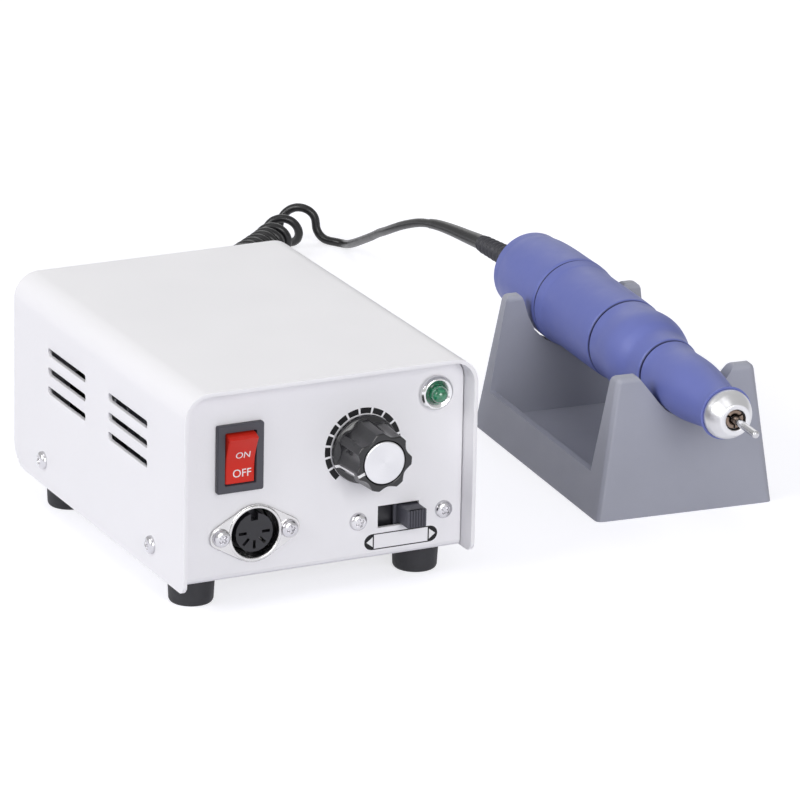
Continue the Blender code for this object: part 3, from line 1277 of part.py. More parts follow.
def front_sleeve():
    """The slim front grip, with the seat of the front bearing inside."""
    outer = smooth([(SLEEVE_REAR_RADIUS, SLEEVE_REAR), (SLEEVE_RADIUS, SLEEVE_GRIP_START),
                    (SLEEVE_RADIUS, SLEEVE_GRIP_END), (SLEEVE_WAIST_RADIUS, SLEEVE_WAIST),
                    (SLEEVE_FLARE_RADIUS, SLEEVE_FRONT)], 3)
    profile = [tuple(point) for point in outer]
    profile += [(SLEEVE_THROAT, SLEEVE_FRONT), (SLEEVE_THROAT, BEARING_SHOULDER),
                (SLEEVE_BORE, BEARING_SHOULDER),
                (SLEEVE_BORE, SLEEVE_REAR)]
    turned("front_sleeve", profile, blue_plastic, handpiece, WIDE_SIDES)


def nose_cap():
    """The polished cone round the collet, held in the sleeve by its spigot."""
    seat = SLEEVE_FRONT + GAP
    spigot = SLEEVE_THROAT - GAP
    clear = SPINDLE_NOSE_RADIUS + GAP
    shoulder = SPINDLE_NOSE_END + GAP
    turned("nose_cap", [(NOSE_BORE, NOSE_FRONT), (NOSE_FACE_RADIUS, NOSE_FRONT),
           (between(NOSE_RADIUS, NOSE_FACE_RADIUS, 0.42), between(seat + NOSE_SKIRT, NOSE_FRONT, 0.5)),
           (NOSE_RADIUS, seat + NOSE_SKIRT), (NOSE_RADIUS, seat), (spigot, seat),
           (spigot, seat - NOSE_SPIGOT), (clear, seat - NOSE_SPIGOT), (clear, shoulder), (NOSE_BORE, shoulder)],
           spun_metal, handpiece, WIDE_SIDES)


def spinning_parts():
    """Spindle with its bored nose, rotor core, windings, commutator, collet and bur."""
    bore = BUR_RADIUS + GAP
    pocket = COLLET_RADIUS + GAP
    pocket_rear = COLLET_FRONT - COLLET_LENGTH - GAP
    bur_rear = BUR_TIP - BUR_LENGTH
    turned("spindle", [(0, SPINDLE_REAR), (SPINDLE_RADIUS, SPINDLE_REAR), (SPINDLE_RADIUS, SPINDLE_NOSE_START),
           (SPINDLE_NOSE_RADIUS, SPINDLE_NOSE_START + SPINDLE_NOSE_RADIUS - SPINDLE_RADIUS),
           (SPINDLE_NOSE_RADIUS, SPINDLE_NOSE_END), (pocket, SPINDLE_NOSE_END), (pocket, pocket_rear),
           (bore, pocket_rear), (bore, bur_rear - GAP), (0, bur_rear - GAP)], bright_steel, handpiece)
    ring = SPINDLE_RADIUS + GAP
    mesh = bmesh.new()
    add_turned(mesh, pipe(ring, ROTOR_RADIUS, ROTOR_REAR, ROTOR_FRONT), WIDE_SIDES)
    core = piece("rotor_core", mesh, dark_steel, handpiece)
    slots = bmesh.new()
    for i in range(ROTOR_SLOTS):
        verts = add_box(slots, (ROTOR_RADIUS - ROTOR_SLOT_DEPTH, -ROTOR_SLOT_WIDTH / 2, ROTOR_REAR - OVERRUN),
                        (ROTOR_RADIUS + OVERRUN, ROTOR_SLOT_WIDTH / 2, ROTOR_FRONT + OVERRUN))
        bmesh.ops.rotate(slots, matrix=Matrix.Rotation(math.tau * i / ROTOR_SLOTS, 3, "Z"), verts=verts)
    boolean(core, slots)
    winding_rear = ROTOR_REAR - GAP - WINDING_LENGTH
    front = winding_rear - COMMUTATOR_GAP
    neck = between(ring, COMMUTATOR_RADIUS, 0.6)
    coils = turned("windings_and_commutator", [(ring, front - COMMUTATOR_LENGTH),
                   (COMMUTATOR_RADIUS, front - COMMUTATOR_LENGTH), (COMMUTATOR_RADIUS, front), (neck, front),
                   (neck, winding_rear), (WINDING_RADIUS, winding_rear), (WINDING_RADIUS, ROTOR_REAR - GAP),
                   (ring, ROTOR_REAR - GAP)], copper, handpiece)
    far_end = bmesh.new()
    add_turned(far_end, pipe(ring, WINDING_RADIUS, ROTOR_FRONT + GAP, ROTOR_FRONT + GAP + WINDING_LENGTH))
    boolean(coils, far_end, "UNION")
    wires = bmesh.new()
    half = ROTOR_SLOT_WIDTH / 2 - GAP
    for i in range(ROTOR_SLOTS):
        verts = add_box(wires, (ROTOR_RADIUS - ROTOR_SLOT_DEPTH + GAP, -half, winding_rear + SEAM),
                        (ROTOR_RADIUS - GAP, half, ROTOR_FRONT + WINDING_LENGTH))
        bmesh.ops.rotate(wires, matrix=Matrix.Rotation(math.tau * i / ROTOR_SLOTS, 3, "Z"), verts=verts)
    boolean(coils, wires, "UNION")
    mesh = bmesh.new()
    mouth = bore + COLLET_MOUTH
    add_turned(mesh, [(bore, COLLET_FRONT - COLLET_LENGTH), (COLLET_RADIUS, COLLET_FRONT - COLLET_LENGTH),
                      (COLLET_RADIUS, COLLET_FRONT), (mouth, COLLET_FRONT),
                      (bore, COLLET_FRONT - COLLET_MOUTH)])
    collet = piece("collet", mesh, bright_steel, handpiece)
    slots = bmesh.new()
    for i in range(3):
        verts = add_box(slots, (0, -COLLET_SLOT / 2, COLLET_FRONT - COLLET_SLOT_LENGTH),
                        (COLLET_RADIUS + OVERRUN, COLLET_SLOT / 2, COLLET_FRONT + OVERRUN))
        bmesh.ops.rotate(slots, matrix=Matrix.Rotation(math.tau * (i + 0.25) / 3, 3, "Z"), verts=verts)
    boolean(collet, slots)
    tip = BUR_RADIUS / 2
    turned("bur_pin", [(0, bur_rear), (BUR_RADIUS, bur_rear), (BUR_RADIUS, BUR_TIP - tip),
           (between(0, BUR_RADIUS, 0.7), BUR_TIP - tip * 0.3), (0, BUR_TIP)],
           bright_steel, handpiece, SMALL_SIDES)


def still_parts():
    """Bearings, magnet, brush holder and brushes."""
    ring = SPINDLE_RADIUS + GAP
    half = BEARING_WIDTH / 2
    turned("front_bearing", pipe(ring, FRONT_BEARING_RADIUS, FRONT_BEARING_STATION - half,
           FRONT_BEARING_STATION + half), bright_steel, handpiece)
    inner = ROTOR_RADIUS + GAP
    turned("ring_magnet", pipe(inner, inner + MAGNET_WALL, ROTOR_REAR, ROTOR_FRONT), dark_steel, handpiece)
    outer = HOUSING_BORE - GAP
    seat = REAR_BEARING_RADIUS + GAP
    brush_front = ROTOR_REAR - WINDING_LENGTH - 2 * GAP - SEAM
    commutator_rear = ROTOR_REAR - GAP - WINDING_LENGTH - COMMUTATOR_GAP - COMMUTATOR_LENGTH
    bearing_front = commutator_rear - COMMUTATOR_GAP
    bearing_rear = bearing_front - BEARING_WIDTH
    turned("rear_bearing", pipe(ring, REAR_BEARING_RADIUS, bearing_rear, bearing_front), bright_steel,
           handpiece)
    mesh = bmesh.new()
    lip = bearing_rear - GAP - BEARING_SEAT_WALL
    add_turned(mesh, [(ring + GAP, lip), (outer, lip), (outer, brush_front), (seat + SEAM, brush_front),
                      (seat + SEAM, bearing_front), (seat, bearing_front), (seat, bearing_rear - GAP),
                      (ring + GAP, bearing_rear - GAP)])
    holder = piece("brush_holder", mesh, dark_plastic, handpiece)
    windows = bmesh.new()
    station = commutator_rear + COMMUTATOR_LENGTH / 2
    room = BRUSH_SECTION / 2 + GAP
    block = BRUSH_SECTION / 2
    start = COMMUTATOR_RADIUS + GAP
    add_box(windows, (-outer - OVERRUN, -room, station - room), (outer + OVERRUN, room, station + room))
    boolean(holder, windows)
    for side, name in ((-1, "_left"), (1, "_right")):
        x = sorted((side * start, side * (start + BRUSH_LENGTH)))
        brush = bmesh.new()
        add_box(brush, (x[0], -block, station - block), (x[1], block, station + block))
        piece("carbon_brush" + name, brush, carbon, handpiece)


rear_cap()
motor_housing()
twist_ring()
front_sleeve()
nose_cap()
spinning_parts()
still_parts()


# Cord: collar and boot on the handpiece, then the plain lead, the curls and the plug
# Routes are lists of points in metres, in the assembly's frame.
BOOT_ROUTE = ((0.1454, 0.1340, 0.0394), (0.1449, 0.1440, 0.0388), (0.1445, 0.1520, 0.0381),
              (0.1441, 0.1570, 0.0375), (0.1439, 0.1600, 0.0369))
LEAD_ROUTE = ((0.1433, 0.1690, 0.0347), (0.1428, 0.1780, 0.0314), (0.1430, 0.1860, 0.0280),
              (0.1440, 0.1940, 0.0246), (0.1454, 0.2020, 0.0214), (0.1474, 0.2120, 0.0170),
              (0.1494, 0.2220, 0.0128), (0.1515, 0.2320, 0.0087), (0.1534, 0.2400, 0.0056),
              (0.1551, 0.2460, 0.0035), (0.1562, 0.2505, 0.0021))
COIL_ROUTE = ((0.1475, 0.2675), (0.1395, 0.2625), (0.1180, 0.2420), (0.0890, 0.2180), (0.0590, 0.1970),
              (0.0270, 0.1850))
TAIL_ROUTE = ((0.0370, 0.1690, 0.0015), (0.0500, 0.1620, 0.0015), (0.0630, 0.1540, 0.0015),
              (0.0680, 0.1440, 0.0019), (0.0640, 0.1350, 0.0038), (0.0550, 0.1306, 0.0064))
PLUG_PLACE = (0.0420, 0.1300)


def handpiece_point(station, height=0.0):
    """A point of the handpiece's frame in the assembly's frame."""
    turn = Matrix.Translation((STAND_X, STAND_Y, 0)) @ Matrix.Rotation(STAND_TURN, 4, "Z")
    return np.array(turn @ Vector((0, HANDPIECE_BACK - station, HANDPIECE_HEIGHT + height)))


def tube(name, points, diameter, finish, resolution, radii=None):
    """A tube along a line of points, round and closed at both ends."""
    data = bpy.data.curves.new(name, "CURVE")
    data.dimensions = "3D"
    spline = data.splines.new("POLY")
    spline.points.add(len(points) - 1)
    for i, point in enumerate(points):
        spline.points[i].co = (*point, 1.0)
        spline.points[i].radius = 1.0 if radii is None else radii[i]
    data.bevel_depth = diameter / 2
    data.bevel_resolution = resolution
    data.use_fill_caps = True
    data.materials.append(finish)
    made = bpy.data.objects.new(name, data)
    bpy.context.scene.collection.objects.link(made)
    made.parent = assembly
    return made


def run(start, start_way, route, end, end_way, diameter, spacing):
    """Evenly spaced points of a smooth line that leaves and arrives straight for one diameter."""
    first = start + start_way * diameter
    last = end - end_way * diameter
    line = smooth([first - start_way * diameter] + [first] + [np.array(p) for p in route] + [last]
                  + [last + end_way * diameter], 12)[12:-12]
    steps = np.linalg.norm(np.diff(line, axis=0), axis=1)
    along = np.concatenate(([0], np.cumsum(steps)))
    count = max(2, round(along[-1] / spacing))
    marks = np.linspace(0, along[-1], count + 1)
    middle = [np.array([np.interp(mark, along, line[:, k]) for k in range(3)]) for mark in marks]
    return np.array([start] + middle + [end])


def unit(vector):
    """A vector of length 1."""
    return np.asarray(vector, float) / np.linalg.norm(vector)


collar_way = np.array((math.sin(COLLAR_SWING), math.cos(COLLAR_SWING), -math.tan(COLLAR_DROOP)))
collar_way /= np.linalg.norm(collar_way)
collar_start = handpiece_point(CAP_REAR)
collar_end = collar_start + collar_way * COLLAR_LENGTH


def cord_collar():
    """A tapering collar with round ribs, its root in the rear cap's hole."""
    profile = [(0, -COLLAR_ROOT), (COLLAR_RADIUS, -COLLAR_ROOT), (COLLAR_RADIUS, 0)]
    pitch = COLLAR_LENGTH / COLLAR_RIBS
    for i in range(COLLAR_RIBS):
        radius = between(COLLAR_RADIUS, COLLAR_TIP_RADIUS, i / (COLLAR_RIBS - 1))
        profile.append((radius - COLLAR_RIB_DEPTH, (i + 0.2) * pitch))
        profile.append((radius, (i + 0.7) * pitch))
    profile += [(COLLAR_TIP_RADIUS - COLLAR_RIB_DEPTH, COLLAR_LENGTH), (0, COLLAR_LENGTH)]
    mesh = bmesh.new()
    add_turned(mesh, profile, SMALL_SIDES, matrix=facing(collar_start, collar_way))
    piece("cord_collar", mesh, collar_grey, assembly)


def cord_boot():
    """The soft boot, from the collar to the cord, tapering as it goes."""
    end = np.array(BOOT_ROUTE[-1])
    way = unit(end - np.array(BOOT_ROUTE[-2]))
    points = run(collar_end + collar_way * GAP, collar_way, BOOT_ROUTE[:-1], end, way, CORD_DIAMETER,
                 BOOT_DIAMETER)
    taper = np.linspace(1, BOOT_TIP_SHARE, len(points))
    tube("cord_boot", points, BOOT_DIAMETER, cord_black, 2, taper)
    return end, way


def curl_points():
    """The curly part: a straight foot, a quarter bend up, a helix along its route, a straight foot."""
    flat = smooth([np.array(point) for point in COIL_ROUTE], 24)
    along = np.concatenate(([0], np.cumsum(np.linalg.norm(np.diff(flat, axis=0), axis=1))))
    turns = np.linspace(0, CURLS - 0.25, round((CURLS - 0.25) * CURL_POINTS) + 1)
    fine = np.linspace(0, CURLS - 0.25, 40 * CURLS)
    pace = (1 + LOOSE_SHARE * np.clip(1 - fine / LOOSE_CURLS, 0, 1)) * np.clip(fine * 4, 0, 1)
    travel = np.concatenate(([0], np.cumsum((pace[1:] + pace[:-1]) / 2 * np.diff(fine))))
    travel *= along[-1] / travel[-1]
    advance = np.interp(turns, fine, travel)
    centre = np.array([np.interp(advance, along, flat[:, k]) for k in range(2)]).T
    ahead = np.gradient(flat, axis=0)
    heading = np.array([np.interp(advance, along, ahead[:, k]) for k in range(2)]).T
    heading /= np.linalg.norm(heading, axis=1)[:, None]
    side = np.column_stack((-heading[:, 1], heading[:, 0]))
    angle = math.tau * turns
    radius = CURL_RADIUS + LOOSE_SWELL * np.clip(1 - turns / LOOSE_CURLS, 0, 1)
    ground = centre + side * (radius * np.cos(angle))[:, None]
    helix = np.column_stack((ground, CORD_DIAMETER / 2 + radius * (1 + np.sin(angle))))
    out = np.array((*side[0], 0.0))
    up = np.array((0.0, 0.0, 1.0))
    reach = radius[0]
    pivot = helix[0] + out * reach
    bend = [pivot - out * reach * math.sin(a) - up * reach * math.cos(a)
            for a in np.linspace(0, math.pi / 2, 4)[:-1]]
    foot = bend[0] + out * CORD_DIAMETER
    way = np.array((*side[-1], 0.0))
    tail = helix[-1] + way * CORD_DIAMETER
    return np.vstack([foot, bend, helix, tail]), -out, way


def least_gap(points, diameter, skip):
    """How close a tube comes to itself, measured on points along it."""
    fine = np.vstack([points[:-1] + (points[1:] - points[:-1]) * t for t in (0, 0.25, 0.5, 0.75)])
    order = np.concatenate([np.arange(len(points) - 1) + t for t in (0, 0.25, 0.5, 0.75)])
    apart = np.linalg.norm(fine[:, None] - fine[None], axis=2)
    apart[np.abs(order[:, None] - order[None]) < skip] = np.inf
    return apart.min() - diameter


def free_cord():
    """The plain lead, the curls and the tail to the plug, end to end."""
    boot_end, boot_way = cord_boot()
    curls, curl_way, tail_way = curl_points()
    lead = run(boot_end + boot_way * GAP, boot_way, LEAD_ROUTE, curls[0] - curl_way * GAP, curl_way,
               CORD_DIAMETER, 2 * CORD_DIAMETER)
    tube("handpiece_cord", lead, CORD_DIAMETER, cord_black, 2)
    tube("curly_cord", curls, CORD_DIAMETER, cord_black, 1)
    gap = least_gap(curls, CORD_DIAMETER, CURL_POINTS / 2)
    print("least gap of the curls to themselves, mm:", round(gap * 1000, 3))
    plug_back = np.array((*PLUG_PLACE, PLUG_RADIUS))
    plug_way = np.array((-1.0, 0.0, 0.0))
    tail = run(curls[-1] + tail_way * GAP, tail_way, TAIL_ROUTE, plug_back - plug_way * GAP, plug_way,
               CORD_DIAMETER, 2 * CORD_DIAMETER)
    tube("cord_tail", tail, CORD_DIAMETER, cord_black, 2)
    return plug_back, plug_way


def cord_plug(back_point, way):
    """The round plug: a moulded grip with five pins in its face, and a metal shell round them."""
    place = facing(back_point, way)
    shell_bore = PLUG_SHELL_RADIUS - PLUG_SHELL_WALL
    face = PLUG_GRIP_LENGTH + PLUG_CORE
    grip, shell, pins = bmesh.new(), bmesh.new(), bmesh.new()
    add_turned(grip, [(0, 0), (PLUG_NECK_RADIUS, 0), (PLUG_NECK_RADIUS, PLUG_RADIUS / 2),
                      (PLUG_RADIUS, PLUG_RADIUS * 1.4), (PLUG_RADIUS, PLUG_GRIP_LENGTH),
                      (shell_bore - GAP, PLUG_GRIP_LENGTH), (shell_bore - GAP, face), (0, face)], matrix=place)
    add_turned(shell, pipe(shell_bore, PLUG_SHELL_RADIUS, PLUG_GRIP_LENGTH + GAP,
                           PLUG_GRIP_LENGTH + PLUG_SHELL_LENGTH), matrix=place)
    for degrees in CONTACT_ANGLES_DEG:
        a = math.radians(degrees)
        spot = Matrix.Translation((CONTACT_CIRCLE * math.cos(a), CONTACT_CIRCLE * math.sin(a), face))
        add_turned(pins, disc(PLUG_PIN_RADIUS, -PLUG_CORE / 2, PLUG_PIN_LENGTH), 8, matrix=place @ spot)
    boolean(piece("plug_grip", grip, dark_plastic, assembly), pins, "UNION")
    piece("plug_shell", shell, bright_steel, assembly)


cord_collar()
cord_plug(*free_cord())


# Origin: below the middle of the box round every piece that isn't on the free cord
FREE_CORD = ("handpiece_cord", "curly_cord", "cord_tail", "plug_grip", "plug_shell")


def place_origin():
    """Shift the whole assembly once, measured on the finished pieces."""
    bpy.context.view_layer.update()
    graph = bpy.context.evaluated_depsgraph_get()
    points = []
    for made in bpy.data.objects:
        if made.type not in {"MESH", "CURVE"} or made.hide_render or made.name in FREE_CORD:
            continue
        shape = made.evaluated_get(graph).to_mesh()
        points += [made.matrix_world @ vert.co for vert in shape.vertices]
    low, high = np.min(points, axis=0), np.max(points, axis=0)
    assembly.location = (-(low[0] + high[0]) / 2, -(low[1] + high[1]) / 2, -low[2])


place_origin()
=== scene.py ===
import math

import bmesh
import bpy
import numpy as np
from mathutils import Matrix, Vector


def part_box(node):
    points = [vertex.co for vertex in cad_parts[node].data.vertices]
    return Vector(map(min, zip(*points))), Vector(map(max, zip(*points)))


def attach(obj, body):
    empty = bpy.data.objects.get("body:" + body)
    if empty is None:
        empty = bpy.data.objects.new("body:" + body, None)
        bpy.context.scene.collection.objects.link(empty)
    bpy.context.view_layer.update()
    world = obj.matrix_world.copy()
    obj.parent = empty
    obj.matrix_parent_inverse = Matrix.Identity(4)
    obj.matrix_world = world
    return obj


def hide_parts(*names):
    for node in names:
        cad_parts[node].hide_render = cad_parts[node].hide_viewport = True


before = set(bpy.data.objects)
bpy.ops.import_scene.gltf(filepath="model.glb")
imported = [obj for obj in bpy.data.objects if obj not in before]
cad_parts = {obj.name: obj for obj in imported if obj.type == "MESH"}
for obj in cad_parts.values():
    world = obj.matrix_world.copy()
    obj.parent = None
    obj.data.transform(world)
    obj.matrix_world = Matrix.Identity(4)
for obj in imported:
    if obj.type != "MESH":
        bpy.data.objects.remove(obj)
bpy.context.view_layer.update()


# Chassis
# One sheet of 1.2 mm steel bent up at the front and the rear, with low flanges at its sides.
# It is powder-coated a light silver grey, and every control is bolted or clipped into it.
def tint(code):
    """A paint code such as "E2E2E6" as linear red, green, blue and alpha."""
    level = np.array([int(code[i:i + 2], 16) for i in (0, 2, 4)]) / 255
    linear = np.where(level <= 0.04045, level / 12.92, ((level + 0.055) / 1.055) ** 2.4)
    return (*linear.tolist(), 1.0)


def node(tree, kind, feeds=None, **settings):
    """A shader node: its settings first, then its inputs, each fed by a value or another node's output."""
    made = tree.nodes.new("ShaderNode" + kind)
    for name, value in settings.items():
        setattr(made, name, value)
    for key, feed in (feeds or {}).items():
        if isinstance(feed, bpy.types.NodeSocket):
            tree.links.new(feed, made.inputs[key])
        else:
            made.inputs[key].default_value = feed
    return made


def math_node(tree, operation, *feeds):
    """The result of one sum on values or outputs."""
    return node(tree, "Math", dict(enumerate(feeds)), operation=operation).outputs[0]


def noise(tree, place, grains, detail=2.0, rough=0.5):
    """Soft noise from 0 to 1, so many grains to the metre."""
    feeds = {"Vector": place, "Scale": grains, "Detail": detail, "Roughness": rough}
    return node(tree, "TexNoise", feeds).outputs[0]


def spread(tree, value, low, high, start=0.0, end=1.0):
    """A value that goes from start to end, laid out from low to high."""
    feeds = {"Value": value, "From Min": start, "From Max": end, "To Min": low, "To Max": high}
    return node(tree, "MapRange", feeds).outputs[0]


def blend_colours(tree, share, first, second):
    """A mix of two colours."""
    return node(tree, "Mix", {0: share, 6: first, 7: second}, data_type="RGBA").outputs[2]


def laid_skin(tree, given, dark_share, wander, height):
    """What an effect puts out: its two colours mixed, its gloss with the wander added, and its relief."""
    colour = blend_colours(tree, dark_share, given["Colour"], given["Dark"])
    return colour, math_node(tree, "ADD", given["Gloss"], wander), height


def effect(painter, **amounts):
    """A node group, named for its painter, that puts out Colour, Roughness and Height over a surface."""
    tree = bpy.data.node_groups.new(painter.__name__, "ShaderNodeTree")
    kinds = {"Vector": "NodeSocketVector", "Colour": "NodeSocketColor", "Dark": "NodeSocketColor"}
    for label, kind in kinds.items():
        tree.interface.new_socket(label, in_out="INPUT", socket_type=kind)
    for label, amount in amounts.items():
        socket = tree.interface.new_socket(label, in_out="INPUT", socket_type="NodeSocketFloat")
        socket.default_value = amount
    results = ("Colour", "Roughness", "Height")
    for label in results:
        kind = kinds.get(label, "NodeSocketFloat")
        tree.interface.new_socket(label, in_out="OUTPUT", socket_type=kind)
    given = tree.nodes.new("NodeGroupInput").outputs
    out = tree.nodes.new("NodeGroupOutput").inputs
    for label, feed in zip(results, painter(tree, given)):
        tree.links.new(feed, out[label])
    return tree


def powder_coat(tree, given):
    """Baked powder paint: a low orange peel, a faint cloudiness, and gloss that wanders a little."""
    place = given["Vector"]
    peel = noise(tree, place, given["Peel"], detail=3.0)
    cloud = noise(tree, place, 14.0, detail=3.0, rough=0.6)
    fleck = spread(tree, noise(tree, place, 2600.0, detail=1.0), 0.0, 0.35, start=0.66, end=0.75)
    share = math_node(tree, "MULTIPLY", cloud, math_node(tree, "ADD", 0.35, fleck))
    wander = spread(tree, noise(tree, place, 60.0, detail=3.0), -0.07, 0.07)
    return laid_skin(tree, given, share, wander, peel)


def finish(name, group, colours, relief, mapping=None, plain=None, **amounts):
    """A material: one effect on the piece's own coordinates, and the shader's plain values.

    colours are the light and the dark one, and relief is its strength and its height in metres.
    """
    made = bpy.data.materials.new(name)
    made.use_nodes = True
    tree = made.node_tree
    shader = tree.nodes["Principled BSDF"].inputs
    place = node(tree, "TexCoord").outputs["Object"]
    if mapping:
        place = node(tree, "Mapping", {"Vector": place, **mapping}).outputs[0]
    light, dark = map(tint, colours)
    feeds = {"Vector": place, "Colour": light, "Dark": dark, **amounts}
    skin = node(tree, "Group", feeds, node_tree=group).outputs
    strength, height = relief
    bump = node(tree, "Bump", {"Height": skin["Height"], "Strength": strength, "Distance": height})
    tree.links.new(skin["Colour"], shader["Base Color"])
    tree.links.new(skin["Roughness"], shader["Roughness"])
    tree.links.new(bump.outputs[0], shader["Normal"])
    for label, value in (plain or {}).items():
        shader[label].default_value = value
    return made


def dress(material, *names):
    """Gives CAD pieces whose shape is right their finish."""
    for name in names:
        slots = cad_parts[name].data.materials
        slots.clear()
        slots.append(material)


coat = effect(powder_coat, Peel=900.0, Gloss=0.4)
dress(finish("panel_paint", coat, ("F2F1F4", "E6E5E9"), (0.12, 0.0002), Peel=1300.0, Gloss=0.42), "chassis")


# Rubber feet
# Four turned feet of black rubber, each with a recess for the screw that holds it.
# Their walls taper towards the bench and their lower edge is rounded.
BOX_LOW, BOX_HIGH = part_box("top_cover")
BOX_X, BOX_Y = (BOX_LOW.x + BOX_HIGH.x) / 2, (BOX_LOW.y + BOX_HIGH.y) / 2
FOOT_HEIGHT = 0.009
FOOT_X, FOOT_Y = 0.0372, 0.0460
FOOT_PROFILE = ((0.0036, 0.0045), (0.0036, 0.0), (0.0063, 0.0), (0.0068, 0.0008), (0.0072, 0.0087),
                (0.0018, 0.0087), (0.0018, 0.0045))
FOOT_EASE = 0.0004
CORNERS = {"front_left": (-1, -1), "front_right": (1, -1), "rear_left": (-1, 1), "rear_right": (1, 1)}
CORNER_SHARE = 0.45  # the most of an edge that one rounded corner takes
MERGE = 1e-7         # points closer than this are one


def placed(points, origin, right, up, out):
    """Points of a piece's own frame, carried to their place: x along right, y along up, z along out."""
    return np.asarray(origin) + np.asarray(points) @ np.array((right, up, out), float)


def eased(profile, radius, closed, steps=4):
    """A line of points with each corner rounded: from a to b past p, as (1-t)^2 a + 2t(1-t) p + t^2 b."""
    p = np.asarray(profile, float)
    before, after = np.roll(p, 1, 0) - p, np.roll(p, -1, 0) - p
    far = [np.linalg.norm(way[:, :2], axis=1) for way in (before, after)]
    cut = np.minimum(radius, CORNER_SHARE * np.minimum(*far))
    if not closed:
        cut[[0, -1]] = 0.0
    a, b = (p + way * (cut / np.maximum(length, 1e-9))[:, None] for way, length in zip((before, after), far))
    t = np.linspace(0, 1, steps + 1)[:, None]
    curve = (1 - t) ** 2 * a[:, None] + 2 * t * (1 - t) * p[:, None] + t ** 2 * b[:, None]
    curve = curve.reshape(-1, p.shape[1])
    return curve if closed else curve[steps:len(curve) - steps]


def in_scene(name, data):
    """An object for a mesh, curve, lamp or camera, in the scene."""
    made = bpy.data.objects.new(name, data)
    bpy.context.scene.collection.objects.link(made)
    return made


def piece(name, points, faces, material, hard=35.0):
    """A mesh object of points and faces: seams merged, faces outwards, smooth up to its hard edges."""
    data = bpy.data.meshes.new(name)
    data.from_pydata(np.asarray(points).tolist(), [], faces)
    mesh = bmesh.new()
    mesh.from_mesh(data)
    bmesh.ops.remove_doubles(mesh, verts=mesh.verts, dist=MERGE)
    bmesh.ops.recalc_face_normals(mesh, faces=mesh.faces)
    mesh.to_mesh(data)
    mesh.free()
    data.materials.append(material)
    data.shade_smooth()
    data.set_sharp_from_angle(angle=math.radians(hard))
    return in_scene(name, data)


def cell_corners(grid):
    """The values at the four corners of each cell of a grid, in order round the cell."""
    return np.stack((grid[:-1, :-1], grid[:-1, 1:], grid[1:, 1:], grid[1:, :-1]), axis=-1)


def numbered(grid):
    """The number of each point of a grid."""
    return np.arange(grid.shape[0] * grid.shape[1]).reshape(grid.shape[:2])


def woven(grid, along=False):
    """The four-sided faces over a grid whose rows are rings; along joins its last row to its first."""
    index = numbered(grid)
    if along:
        index = np.vstack((index, index[:1]))
    return cell_corners(np.hstack((index, index[:, :1]))).reshape(-1, 4).tolist()


def ringed(name, grid, place, material, hard=35.0, along=False, ends=False):
    """A piece from a grid of rings in its own frame; ends closes its first and last ring with flat faces."""
    faces = woven(grid, along)
    if ends:
        index = numbered(grid)
        faces += [index[0, ::-1].tolist(), index[-1].tolist()]
    return piece(name, placed(grid, *place).reshape(-1, 3), faces, material, hard)


def polar(radius, angle, height):
    """Points at (r cos a, r sin a, h)."""
    return np.stack(np.broadcast_arrays(radius * np.cos(angle), radius * np.sin(angle), height), axis=-1)


def turned(name, profile, place, material, soft=0.0002, sides=72, reach=None):
    """A turned piece: at the angle a, the profile's point r, h, s stands r + s e(a) from the axis and h high.

    e is the reach, such as a flute or a flange's outline, and s is how much of it that point takes.
    """
    closed = profile[0][0] > 0
    line = np.array([(*point, 0.0)[:3] for point in profile])
    line = eased(line, soft, closed) if soft else line
    angle = np.linspace(0, math.tau, sides, endpoint=False)[None]
    extra = reach(angle) * line[:, 2:] if reach else 0.0
    return ringed(name, polar(line[:, :1] + extra, angle, line[:, 1:2]), place, material, along=closed)


def fit(made, body, slot, *nodes):
    """The piece rides on its body and stands for its CAD pieces; slot is not used."""
    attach(made, body)
    if nodes:
        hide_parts(*nodes)
    return made


def moulded_skin(tree, given):
    """Moulded plastic or rubber: a fine etched grain, slow cloudiness and handling marks in the gloss."""
    place = given["Vector"]
    etched = noise(tree, place, given["Grain"], rough=0.6)
    cloud = noise(tree, place, 45.0, detail=4.0, rough=0.6)
    marks = noise(tree, place, 130.0, detail=3.0, rough=0.7)
    marks = math_node(tree, "MULTIPLY", math_node(tree, "SUBTRACT", marks, 0.5), given["Marks"])
    return laid_skin(tree, given, cloud, marks, etched)


moulded = effect(moulded_skin, Grain=2200.0, Gloss=0.45, Marks=0.08)
rubber = finish("foot_rubber", moulded, ("26262B", "1D1D21"), (0.35, 0.0002), Grain=1600.0, Gloss=0.62,
                Marks=0.3)
for corner, (side, end) in CORNERS.items():
    place = ((BOX_X + side * FOOT_X, BOX_Y + end * FOOT_Y, 0.0), (1, 0, 0), (0, 1, 0), (0, 0, 1))
    fit(turned("foot_" + corner, FOOT_PROFILE, place, rubber, FOOT_EASE), "control_unit", "black_rubber",
        "rubber_foot_" + corner)


# Cross-head screws
# Nickel-plated M3 pan heads with a cross recess: two hold the socket, two the direction switch,
# four the cover, two the mains inlet, and one stands in each foot.
def plated_metal(tree, given):
    """Plated or polished metal: fine wipe marks along one way and a gloss that wanders."""
    place = given["Vector"]
    long_way = node(tree, "Mapping", {"Vector": place, "Scale": (1.0, 1.0, 0.08)}).outputs[0]
    wipe = noise(tree, long_way, given["Wipe"], detail=3.0, rough=0.6)
    cloud = noise(tree, place, 90.0, detail=3.0, rough=0.6)
    return laid_skin(tree, given, cloud, spread(tree, wipe, -0.06, 0.1), wipe)


